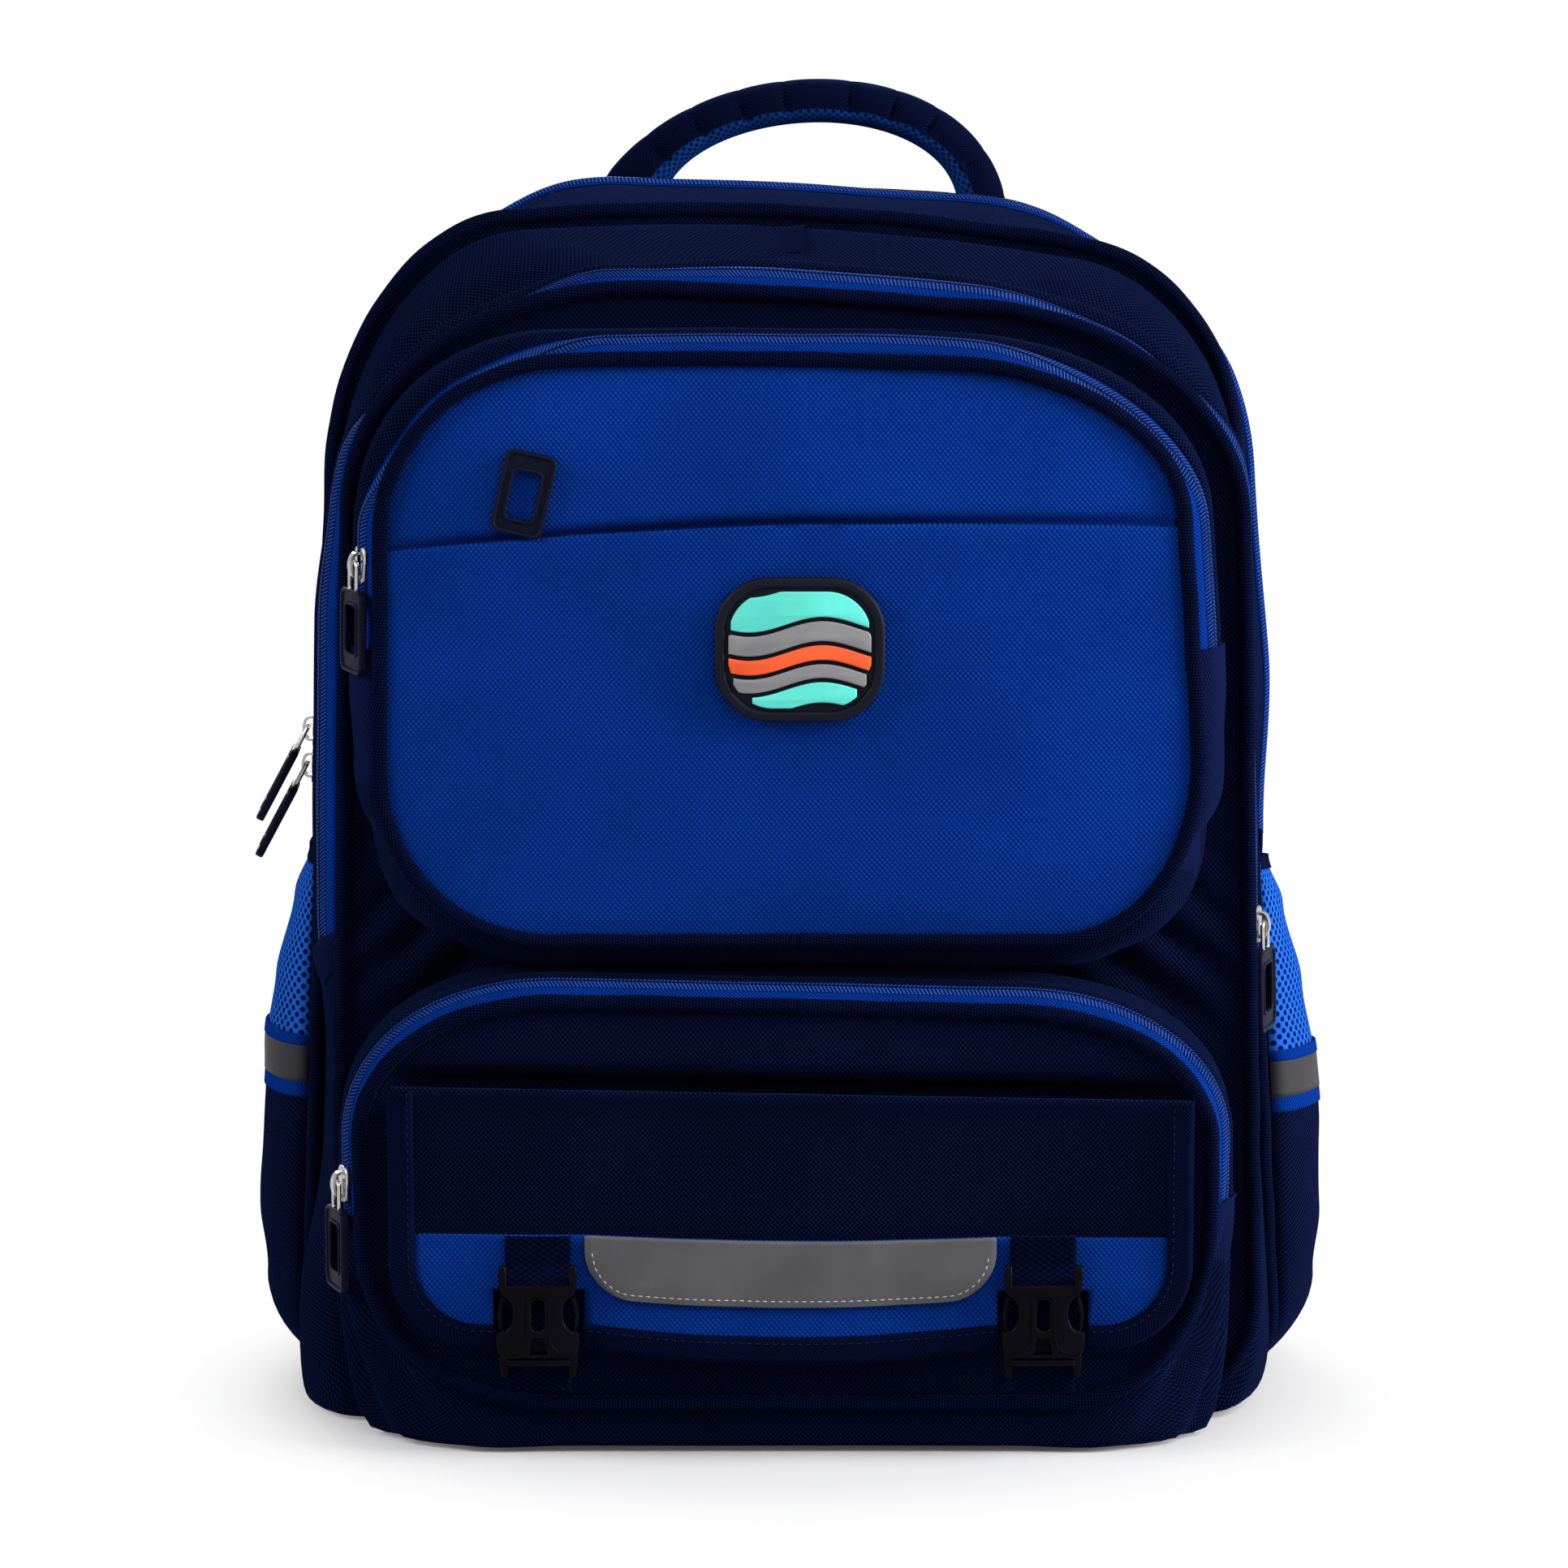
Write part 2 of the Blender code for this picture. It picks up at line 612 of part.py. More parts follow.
def add_slider(name, frame):
    """Slider plate over the coil, with the bail that holds the puller's eye bar."""
    plate_middle = BAR_STAND - HOLLOW - SLIDER_PLATE / 2
    cube = bmesh.new()
    bmesh.ops.create_cube(cube, size=1.0)
    bmesh.ops.scale(cube, vec=(SLIDER_WIDTH, SLIDER_LENGTH, SLIDER_PLATE), verts=cube.verts)
    upright = [edge for edge in cube.edges
               if abs((edge.verts[0].co - edge.verts[1].co).z) > SLIDER_PLATE / 2]
    bmesh.ops.bevel(cube, geom=upright, offset=SLIDER_ROUND, segments=2, affect="EDGES", profile=0.5)
    bmesh.ops.translate(cube, vec=(0.0, 0.0, plate_middle - BAR_STAND), verts=cube.verts)
    slider = add_object(name, mesh_from(cube, name), METAL, 0.35, 1.0)
    slider.matrix_world = frame @ Matrix.Translation((0.0, 0.0, BAR_STAND))

    half = HOLLOW + POST
    arch = mirrored([(half, -HOLLOW - SLIDER_PLATE / 2, 0.0), (half, half, BAIL_ROUND)])
    hollow = mirrored([(HOLLOW, -HOLLOW, 0.0), (HOLLOW, HOLLOW, 0.0)])
    turn = Matrix(((0, 0, 1, 0), (1, 0, 0, 0), (0, 1, 0, 0), (0, 0, 0, 1)))
    bail = add_plate(name + "_bail", [rounded_loop(arch, 2), rounded_loop(hollow)], BAIL_WIDTH,
                     slider.matrix_world @ turn, METAL, 0.35, 1.0, cutters)
    join_solid(slider, bail)
    return slider


def solid_from_curve(curve_object):
    """Replace a filled curve by a welded mesh object, so that a Boolean can use it."""
    bpy.context.view_layer.update()
    graph = bpy.context.evaluated_depsgraph_get()
    mesh = bpy.data.meshes.new_from_object(curve_object.evaluated_get(graph))
    welded = bmesh.new()
    welded.from_mesh(mesh)
    bmesh.ops.remove_doubles(welded, verts=welded.verts, dist=0.00001)
    welded.to_mesh(mesh)
    welded.free()
    solid = bpy.data.objects.new(curve_object.name + "_solid", mesh)
    solid.matrix_world = curve_object.matrix_world.copy()
    cutters.objects.link(solid)
    bpy.data.objects.remove(curve_object)
    return solid


def join_solid(piece, addition):
    """Weld another solid to a piece."""
    tool = solid_from_curve(addition)
    tool.hide_render = True
    tool.display_type = "WIRE"
    joint = piece.modifiers.new("join", "BOOLEAN")
    joint.operation = "UNION"
    joint.object = tool


def add_puller(name, frame, lean=0.0):
    """Rubber puller on its link, hanging from the slider's bail and leaning out by an angle."""
    place = frame @ Matrix.Translation((0.0, 0.0, BAR_STAND)) @ Matrix.Rotation(-lean, 4, "X")
    return add_plate(name, pull_loops(LINK_LENGTH), PULL_THICKNESS, place, RUBBER, 0.55)


def add_zip_pull(name, gusset, height, side, lean=0.0):
    """One slider and its puller on a straight run of a zip."""
    frame = gusset.track(height, side)
    add_slider(name + "_slider", frame)
    add_puller(name + "_puller", frame, lean)


main_outline = Outline(MAIN_HALF_LOW, MAIN_HALF_HIGH, BASE_SEAM, MAIN_HEIGHT,
                       MAIN_FOOT_ROUND, MAIN_TOP_ROUND, MAIN_CROWN)
middle_outline = Outline(MAIN_HALF_LOW - MIDDLE_STEP_LOW, MAIN_HALF_HIGH - MIDDLE_STEP_HIGH,
                         BASE_SEAM, MIDDLE_TOP, MIDDLE_FOOT_ROUND, MIDDLE_TOP_ROUND, MIDDLE_CROWN)
middle_rear = middle_outline.flared(MIDDLE_FLARE_SIDE, MIDDLE_FLARE_TOP)
upper_outline = Outline(middle_outline.half_low - UPPER_STEP_LOW,
                        middle_outline.half_high - UPPER_STEP_HIGH,
                        UPPER_FOOT, UPPER_TOP, UPPER_FOOT_ROUND, UPPER_TOP_ROUND, UPPER_CROWN)
upper_rear = upper_outline.flared(UPPER_FLARE_SIDE, UPPER_FLARE_TOP, UPPER_FLARE_FOOT)
lower_outline = Outline(LOWER_HALF, LOWER_HALF, LOWER_FOOT, LOWER_TOP, LOWER_FOOT_ROUND, LOWER_TOP_ROUND)
lower_rear = lower_outline.flared(LOWER_FLARE_SIDE, LOWER_FLARE_TOP, LOWER_FLARE_FOOT)

# Main compartment
back_wall = Wall(main_outline, BACK_FACE + WALL / 2, 0.0)
back_wall.add("back_panel", NAVY)
main_wall = Wall(main_outline, MAIN_FRONT + WALL / 2, 0.0)
main_wall.add("main_front_panel", NAVY)
add_piping("main_rear_piping", main_outline, BACK_FACE + WALL - 2 * PIPE_RADIUS, NAVY)
add_piping("main_front_piping", main_outline, MAIN_FRONT, NAVY)
main_zip_rear = BACK_FACE - MAIN_ZIP_BACK
main_gusset = Gusset(main_outline, main_outline, BACK_FACE + WALL - 2 * PIPE_RADIUS - GAP,
                     MAIN_FRONT + 2 * PIPE_RADIUS + GAP, main_zip_rear, main_zip_rear - ZIP_TAPE,
                     MAIN_ZIP_END)
main_gusset.add_band("main_gusset", NAVY)
main_gusset.add_zip("main_zip", TAPE_BLUE)


def add_front_compartment(name, rear, front, rear_wall, front_face, zip_end, zip_colour):
    """Gusset, zip and piping of a compartment sewn on a wall behind it; its front wall comes apart."""
    front_edge = front_face + 2 * PIPE_RADIUS + GAP
    gusset = Gusset(rear, front, rear_wall - GAP, front_edge, front_edge + ZIP_TAPE, front_edge, zip_end)
    gusset.add_band(name + "_gusset", NAVY)
    gusset.add_zip(name + "_zip", zip_colour)
    add_piping(name + "_piping", front, front_face, NAVY)
    return gusset


middle_gusset = add_front_compartment("middle", middle_rear, middle_outline, MAIN_FRONT, MIDDLE_FRONT,
                                      MIDDLE_ZIP_END, TAPE_BLUE)
middle_wall = Wall(middle_outline, MIDDLE_FRONT + WALL / 2, 0.0)
middle_wall.add("middle_front_panel", NAVY)

upper_gusset = add_front_compartment("upper_pocket", upper_rear, upper_outline, MIDDLE_FRONT, UPPER_FRONT,
                                     UPPER_ZIP_END, TAPE_BLUE)
slip_wall = Wall(upper_outline, UPPER_FRONT + WALL / 2, UPPER_DOME)
slip_wall.add("slip_pocket_panel", ROYAL, top=SLIT_HEIGHT)
upper_wall = Wall(upper_outline, UPPER_FRONT + WALL * 1.5 + GAP, UPPER_DOME)
upper_wall.add("upper_pocket_panel", ROYAL)

lower_gusset = add_front_compartment("lower_pocket", lower_rear, lower_outline, MIDDLE_FRONT, LOWER_FRONT,
                                     LOWER_ZIP_END, TAPE_BLUE)
lower_wall = Wall(lower_outline, LOWER_FRONT + WALL / 2, LOWER_DOME)
lower_wall.add("lower_pocket_panel", NAVY)


def add_patch():
    """Moulded rubber patch, flat, sewn on the middle of the domed panel."""
    half_width, half_height = PATCH_WIDTH / 2, PATCH_HEIGHT / 2
    edge = mirrored([(half_width, -half_height, PATCH_ROUND), (half_width, half_height, PATCH_ROUND)])
    z = SLIT_HEIGHT - PATCH_DROP
    y = slip_wall.depth(PATCH_X, z) - WALL / 2 - GAP - PATCH_THICKNESS / 2
    place = facing_front(PATCH_X, y, z)
    add_plate("rubber_patch", [rounded_loop(edge, 4)], PATCH_THICKNESS, place, TEAL, 0.5)


def add_slip_puller():
    """Puller that stands up out of the slit, its lower edge on the slip pocket's opening."""
    stand = PULL_THICKNESS / 2
    z = SLIT_HEIGHT + SLIP_PULL_RISE
    y = upper_wall.depth(SLIP_PULL_X, z) - WALL / 2 - stand - 2 * GAP
    upright = facing_front(SLIP_PULL_X, y, z) @ Matrix.Rotation(math.pi - SLIP_PULL_LEAN, 4, "Z")
    add_plate("slip_puller", pull_loops(0.0), PULL_THICKNESS, upright, RUBBER, 0.55)


add_patch()
add_slip_puller()
main_slider = MAIN_ZIP_END + MAIN_SLIDER_RISE
add_zip_pull("main_lower", main_gusset, main_slider, -1, MAIN_PULL_LEAN)
add_zip_pull("main_upper", main_gusset, main_slider + MAIN_SLIDER_PITCH, -1, MAIN_PULL_LEAN)
add_zip_pull("middle", middle_gusset, MIDDLE_ZIP_END + MIDDLE_SLIDER_RISE, 1)
add_zip_pull("upper_pocket", upper_gusset, UPPER_ZIP_END + UPPER_SLIDER_RISE, -1)
add_zip_pull("lower_pocket", lower_gusset, LOWER_ZIP_END + LOWER_SLIDER_RISE, -1)

# Flap and buckles, one layer in front of the other
flap_back = LOWER_FRONT - LOWER_DOME - GAP
flap_front = flap_back - FLAP_CLOTH
trim_front = flap_front - GAP - TRIM_CLOTH
strap_middle = trim_front - GAP - WEBBING / 2
plug_back = strap_middle - WEBBING / 2 - GAP
plug_front = plug_back - PLUG_PLATE
socket_back = plug_front - GAP


def relief():
    """Half width and top of the space kept free round a plug half, seen from its own middle."""
    return BUCKLE_WIDTH / 2 + RELIEF, SOCKET_BOTTOM + PRONG_LENGTH + RELIEF


def bound_half(half_width, low, high, radius):
    """Right half outline of a flap layer, with the relief behind the buckle."""
    free, top = relief()
    return [(BUCKLE_X - free, low, 0.0), (BUCKLE_X - free, top, 0.0),
            (BUCKLE_X + free, top, 0.0), (BUCKLE_X + free, low, 0.0),
            (half_width, low, radius), (half_width, high, 0.0)]


def hang(piece, pivot):
    """Parent a placed piece to the empty on its joint's axis."""
    piece.parent = pivot
    piece.matrix_parent_inverse = pivot.matrix_basis.inverted()


flap_pivot = bpy.data.objects.new("flap_pivot", None)
flap_pivot.location = (0.0, (flap_back + flap_front) / 2, FLAP_TOP)
parts.objects.link(flap_pivot)


def add_flap():
    """Navy flap on its top seam, its royal blue lower panel and the grey reflective strip."""
    outer = bound_half(FLAP_HALF, FLAP_BOTTOM, FLAP_TOP, FLAP_ROUND)
    hang(add_plate("flap_panel", [rounded_loop(mirrored(outer), 5)], FLAP_CLOTH,
                   facing_front(0.0, flap_front + FLAP_CLOTH / 2, 0.0), NAVY, 0.85), flap_pivot)
    inner = bound_half(FLAP_HALF - TRIM_MARGIN, TRIM_BOTTOM, TRIM_TOP, TRIM_ROUND)
    hang(add_plate("flap_blue_panel", [rounded_loop(mirrored(inner), 5)], TRIM_CLOTH,
                   facing_front(0.0, trim_front + TRIM_CLOTH / 2, 0.0), ROYAL, 0.8), flap_pivot)
    strip_half = BUCKLE_X - relief()[0] - GAP
    strip_top = TRIM_TOP - REFLECTOR_DROP
    strip = mirrored([(strip_half, strip_top - REFLECTOR_HEIGHT, REFLECTOR_ROUND),
                      (strip_half, strip_top, 0.0)])
    hang(add_plate("flap_reflective_strip", [rounded_loop(strip)], REFLECTOR_FILM,
                   facing_front(0.0, trim_front - GAP - REFLECTOR_FILM / 2, 0.0), SILVER, 0.4), flap_pivot)


def bar_turn(near, far, bar_top):
    """Route, as (y, z), of webbing over a bar: up on its near side, across, and down on its far side."""
    bend = WEBBING / 3
    lean = bend if far > near else -bend
    turn = bar_top + GAP + WEBBING / 2
    return [(near, turn - bend), (near + lean, turn), (far - lean, turn), (far, turn - bend)]


def add_webbing(name, route, x):
    """Woven strap along a route of (y, z) points, its width along x."""
    def place(column, row):
        y, z = route[column]
        return Vector((x + WEBBING_WIDTH * (row - 0.5), y, z))

    return add_sheet(name, len(route) - 1, 1, place, WEBBING, NAVY)


def add_socket(side_name, x):
    """Socket half of a buckle, hung on its webbing loop; both swing with the flap."""
    half = BUCKLE_WIDTH / 2
    waist = half - PRONG_WIDTH - PRONG_INSET - 2 * GAP
    notch_low = SOCKET_BOTTOM + NOTCH_RISE
    notch_high = notch_low + NOTCH_HEIGHT
    edge = mirrored([(half - SOCKET_TAPER, SOCKET_BOTTOM, BUCKLE_END_ROUND),
                     (half, notch_low, BUCKLE_EDGE_ROUND), (waist, notch_low, BUCKLE_EDGE_ROUND),
                     (waist, notch_high, BUCKLE_EDGE_ROUND), (half, notch_high, BUCKLE_EDGE_ROUND),
                     (half, SOCKET_TOP, BUCKLE_SHOULDER_ROUND)])
    slot_half = WEBBING_WIDTH / 2 + GAP
    slot_top = SOCKET_TOP - SOCKET_BAR
    slot = mirrored([(slot_half, slot_top - SLOT_HEIGHT, 0.0), (slot_half, slot_top, 0.0)])
    hang(add_plate("buckle_socket_" + side_name, [rounded_loop(edge, 2), rounded_loop(slot)], SOCKET_PLATE,
                   facing_front(x, socket_back - SOCKET_PLATE / 2, 0.0), BLACK, 0.45), flap_pivot)

    behind = socket_back + GAP + WEBBING / 2
    before = socket_back - SOCKET_PLATE - GAP - WEBBING / 2
    under = [(y, 2 * slot_top - z) for y, z in bar_turn(behind, before, slot_top)]
    route = [(strap_middle, SOCKET_TOP + STRAP_SEAM), (strap_middle, SOCKET_TOP + STRAP_SEAM / 2),
             (behind, SOCKET_TOP)] + under + [(before, SOCKET_TOP)]
    hang(add_webbing("flap_webbing_" + side_name, route, x), flap_pivot)


def add_plug(side_name, x):
    """Plug half of a buckle with its two sprung prongs, on the webbing from the pocket's foot."""
    half = BUCKLE_WIDTH / 2
    plug_middle = plug_back - PLUG_PLATE / 2
    plug_top = SOCKET_BOTTOM - GAP
    edge = mirrored([(half - PLUG_TAPER, PLUG_BOTTOM, BUCKLE_END_ROUND),
                     (half, plug_top, BUCKLE_EDGE_ROUND), (TONGUE_HALF, plug_top, 0.0),
                     (TONGUE_HALF, SOCKET_BOTTOM + PRONG_LENGTH, BUCKLE_EDGE_ROUND)])
    slot_half = WEBBING_WIDTH / 2 + GAP
    bar_top = PLUG_BOTTOM + PLUG_BAR
    slot = mirrored([(slot_half, bar_top, 0.0), (slot_half, bar_top + SLOT_HEIGHT, 0.0)])
    add_plate("buckle_plug_" + side_name, [rounded_loop(edge, 2), rounded_loop(slot)], PLUG_PLATE,
              facing_front(x, plug_middle, 0.0), BLACK, 0.45)

    for hand, prong_side in (("left", -1), ("right", 1)):
        root = x + prong_side * (half - PRONG_WIDTH / 2 - PRONG_INSET)
        bar = mirrored([(PRONG_WIDTH / 2, 0.0, 0.0), (PRONG_WIDTH / 2, PRONG_LENGTH, PRONG_TIP_ROUND)])
        add_plate("buckle_prong_" + side_name + "_" + hand, [rounded_loop(bar, 2)], PLUG_PLATE,
                  facing_front(root, plug_middle, SOCKET_BOTTOM), BLACK, 0.45)

    foot = LOWER_FRONT - GAP - WEBBING / 2
    behind = plug_back + GAP + WEBBING / 2
    before = plug_back - PLUG_PLATE - GAP - WEBBING / 2
    route = [(foot, LOWER_FOOT + PIPE_RADIUS), (behind, PLUG_BOTTOM)] + bar_turn(behind, before, bar_top)
    route.append((before, PLUG_BOTTOM - STRAP_TAIL))
    add_webbing("pocket_webbing_" + side_name, route, x)


add_flap()
for side_name, x in (("left", -BUCKLE_X), ("right", BUCKLE_X)):
    add_socket(side_name, x)
    add_plug(side_name, x)


def add_side_pocket(side_name, side):
    """Side pocket: a sheet sewn to the gusset at its front, rear and foot, standing open at the top."""
    rear = main_gusset.rear_edge - SWELL_RUN
    front = main_gusset.front_edge + SWELL_RUN
    columns, rows = 8, 8
    seat = CLOTH / 2 + POCKET_CLOTH / 2 + GAP

    def place(column, row):
        across, upward = column / columns, row / rows
        z = POCKET_BOTTOM + (POCKET_TOP - POCKET_BOTTOM) * upward
        y = rear + (front - rear) * across
        swell = POCKET_SWELL * min(1.0, upward / POCKET_FOOT_RUN) ** 0.6
        drawn = max((upward - 1.0) / POCKET_MOUTH_RUN + 1.0, 0.0)
        swell += (POCKET_MOUTH - POCKET_SWELL) * drawn
        bow = math.sin(math.pi * across) ** 0.6
        stand = GUSSET_SWELL + seat + swell * bow
        return Vector((side * (main_outline.side(z).x + stand), y, z))

    add_sheet("side_pocket_" + side_name, columns, rows, place, POCKET_CLOTH, NAVY)


def add_handle():
    """Carrying handle: a padded arch, drawn in at its feet, that folds on the line through them."""
    columns, rows = 20, 10
    foot_steps = 2
    foot_y = BACK_FACE - HANDLE_BACK
    higher_foot = HANDLE_HALF - HANDLE_X
    cloth_top = MAIN_HEIGHT + main_outline.lift(higher_foot) + main_gusset.swell(foot_y) + CLOTH / 2
    foot_z = cloth_top + 2 * GAP + HANDLE_FOOT

    def section(column):
        """Middle, half depth and half thickness of the arch at a column."""
        last = columns - column
        end = min(column, last)
        if end < foot_steps:
            turn = math.pi / 2 * (foot_steps - end) / (foot_steps + 0.3)
            x = -HANDLE_HALF if column < last else HANDLE_HALF
            return Vector((x, 0.0, -HANDLE_FOOT * math.sin(turn))), HANDLE_FOOT * math.cos(turn), 0.0
        turn = math.pi * (column - foot_steps) / (columns - 2 * foot_steps)
        fullness = math.sin(turn) ** 0.5
        middle = Vector((-HANDLE_HALF * math.cos(turn), 0.0, HANDLE_RISE * fullness ** 1.5))
        return middle, HANDLE_FOOT + (HANDLE_DEPTH / 2 - HANDLE_FOOT) * fullness, turn

    def place(column, row):
        middle, half_depth, turn = section(column)
        angle = 2 * math.pi * row / rows
        share = half_depth / (HANDLE_DEPTH / 2)
        half_thickness = HANDLE_THICKNESS / 2 * (0.6 + 0.4 * min(share, 1.0))
        if column <= foot_steps:
            out = Vector((-1.0, 0.0, 0.0))
        elif column >= columns - foot_steps:
            out = Vector((1.0, 0.0, 0.0))
        else:
            out = Vector((-math.cos(turn), 0.0, math.sin(turn)))
        offset = out * (half_thickness * math.cos(angle)) + Vector((0.0, half_depth * math.sin(angle), 0.0))
        return middle + offset

    handle = add_tube("carry_handle", columns, rows, place, NAVY)
    handle.location = (HANDLE_X, foot_y, foot_z)


def add_pad(side_name, side):
    """Back pad: a crowned cushion, flat where it is sewn to the back panel."""
    columns, rows = 8, 14
    half = PAD_HALF
    outline = Outline(half, half, PAD_LOW, PAD_HIGH, (PAD_ROUND, PAD_ROUND), (PAD_ROUND, PAD_ROUND))
    seat = BACK_FACE + WALL + GAP

    def place(column, row):
        share = 0.5 - 0.5 * math.cos(math.pi * row / rows)
        z = PAD_LOW + (PAD_HIGH - PAD_LOW) * share
        x = outline.reach(z, 0.0) * (2.0 * column / columns - 1.0)
        return Vector((side * PAD_X + x, seat, z))

    cushion = laid_grid(columns, rows, place)
    lifted = bmesh.ops.extrude_face_region(cushion, geom=cushion.faces[:])
    for vert in [item for item in lifted["geom"] if isinstance(item, bmesh.types.BMVert)]:
        across = 1.0 - ((vert.co.x - side * PAD_X) / half) ** 2
        upward = 1.0 - (2.0 * (vert.co.z - PAD_LOW) / (PAD_HIGH - PAD_LOW) - 1.0) ** 2
        vert.co.y += PAD_EDGE + PAD_CROWN * max(across, 0.0) ** 0.7 * max(upward, 0.0) ** 0.4
    add_object("back_pad_" + side_name, mesh_from(cushion, "back_pad_" + side_name), NAVY)


def add_boards():
    """Stiffener boards inside the main compartment, behind its back wall and on its base."""
    board = Wall(main_outline, BACK_FACE - GAP - BOARD / 2, 0.0, BOARD_MARGIN)
    board.add("back_board", BLACK, BOARD)
    half_depth = (main_gusset.rear_edge - main_gusset.front_edge) / 2 - SWELL_RUN
    middle = (main_gusset.rear_edge + main_gusset.front_edge) / 2
    half_width = MAIN_HALF_LOW - main_outline.corner_low[0] - GAP
    floor = bmesh.new()
    bmesh.ops.create_cube(floor, size=1.0)
    bmesh.ops.scale(floor, vec=(2 * half_width, 2 * half_depth, BOARD), verts=floor.verts)
    piece = add_object("base_board", mesh_from(floor, "base_board"), BLACK)
    piece.location = (0.0, middle, CLOTH + GAP + BOARD / 2)


def add_strap(side_name, side):
    """Shoulder strap, its ladder lock, and the webbing from the bag's foot through the lock."""
    columns, rows = 18, 10
    seat = BACK_FACE + WALL + GAP
    lock_y = seat + LOCK_STAND
    root = Vector((side * STRAP_X, seat, STRAP_ROOT))
    tip = Vector((side * LOCK_X, lock_y, LOCK_HEIGHT + LOCK_LENGTH / 2 + GAP))
    rise = (root.z - tip.z) * 0.45
    path = interpolate_bezier(root, root + Vector((0.0, STRAP_BOW, 0.0)),
                              tip + Vector((0.0, STRAP_TIP_BOW, rise)), tip, columns + 1)

    def place(column, row):
        here = path[column]
        along = (path[min(column + 1, columns)] - path[max(column - 1, 0)]).normalized()
        if column == 0:
            along = Vector((0.0, 1.0, 0.0))
        if column == columns:
            along = Vector((0.0, 0.0, -1.0))
        across = Vector((1.0, 0.0, 0.0))
        across = (across - along * across.dot(along)).normalized()
        off = along.cross(across)
        share = column / columns
        half_width = (STRAP_WIDTH + (STRAP_TIP_WIDTH - STRAP_WIDTH) * share ** 2) / 2
        fullness = max(math.sin(math.pi * share), 0.0) ** 0.5
        thickness = STRAP_END_THICKNESS + (STRAP_THICKNESS - STRAP_END_THICKNESS) * fullness
        angle = 2 * math.pi * row / rows
        wide = math.copysign(abs(math.cos(angle)) ** 0.6, math.cos(angle))
        deep = math.copysign(abs(math.sin(angle)) ** 0.8, math.sin(angle))
        return here + across * (half_width * wide) + off * (thickness / 2 * deep)

    add_tube("shoulder_strap_" + side_name, columns, rows, place, NAVY)

    slot_half = WEBBING_WIDTH / 2 + 2 * GAP
    slot = (LOCK_LENGTH - 3 * LOCK_BAR) / 2
    frame_half = LOCK_LENGTH / 2
    outer = frame_half - LOCK_BAR
    low_slot = mirrored([(slot_half, -outer, 0.0), (slot_half, slot - outer, 0.0)])
    high_slot = mirrored([(slot_half, outer - slot, 0.0), (slot_half, outer, 0.0)])
    edge = mirrored([(LOCK_WIDTH / 2, -frame_half, LOCK_ROUND), (LOCK_WIDTH / 2, frame_half, LOCK_ROUND)])
    lock_place = facing_front(side * LOCK_X, lock_y, LOCK_HEIGHT)
    loops = [rounded_loop(edge, 2), rounded_loop(low_slot), rounded_loop(high_slot)]
    add_plate("ladder_lock_" + side_name, loops, LOCK_THICKNESS, lock_place, BLACK, 0.45)

    bar_low = LOCK_HEIGHT - frame_half
    near = lock_y - LOCK_THICKNESS / 2 - GAP - WEBBING / 2
    far = lock_y + LOCK_THICKNESS / 2 + GAP + WEBBING / 2
    foot = Vector((side * STRAP_FOOT_X, seat + WEBBING / 2, STRAP_FOOT_Z))
    below = Vector((side * LOCK_X, near, bar_low))
    under = Vector((below.x, near, foot.z))
    climb = interpolate_bezier(foot, foot.lerp(below, 0.3), below.lerp(under, 0.4), below, 6)
    over = [Vector((below.x, y, z)) for y, z in bar_turn(near, far, bar_low + LOCK_BAR)]
    tail = [Vector((below.x, far, bar_low - TAIL_LENGTH * share)) for share in (0.0, 0.5, 1.0)]
    route = list(climb) + over + tail

    def ribbon(column, row):
        return route[column] + Vector((WEBBING_WIDTH * (row - 0.5), 0.0, 0.0))

    add_sheet("strap_webbing_" + side_name, len(route) - 1, 1, ribbon, WEBBING, NAVY)


for side_name, side in (("left", -1), ("right", 1)):
    add_side_pocket(side_name, side)
    add_pad(side_name, side)
    add_strap(side_name, side)
add_handle()
add_boards()
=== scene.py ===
# %% [markdown]
# # A school backpack, dressed over its frame
# The frame holds the bag's solids, joints and sizes. This lesson dresses them: the cloth walls are laid
# over the same seam lines as the solids, the pads are blown up as cloth, and every surface gets a
# material of nodes. The bag's cloth is all sewn sheet, so most pieces start as one flat grid that is
# laid in place by a short formula, the way a cut panel is laid on a block.

# %% Load the frame
import json
import math

import bmesh
import bpy
from mathutils import Matrix, Vector, noise
from mathutils.geometry import interpolate_bezier


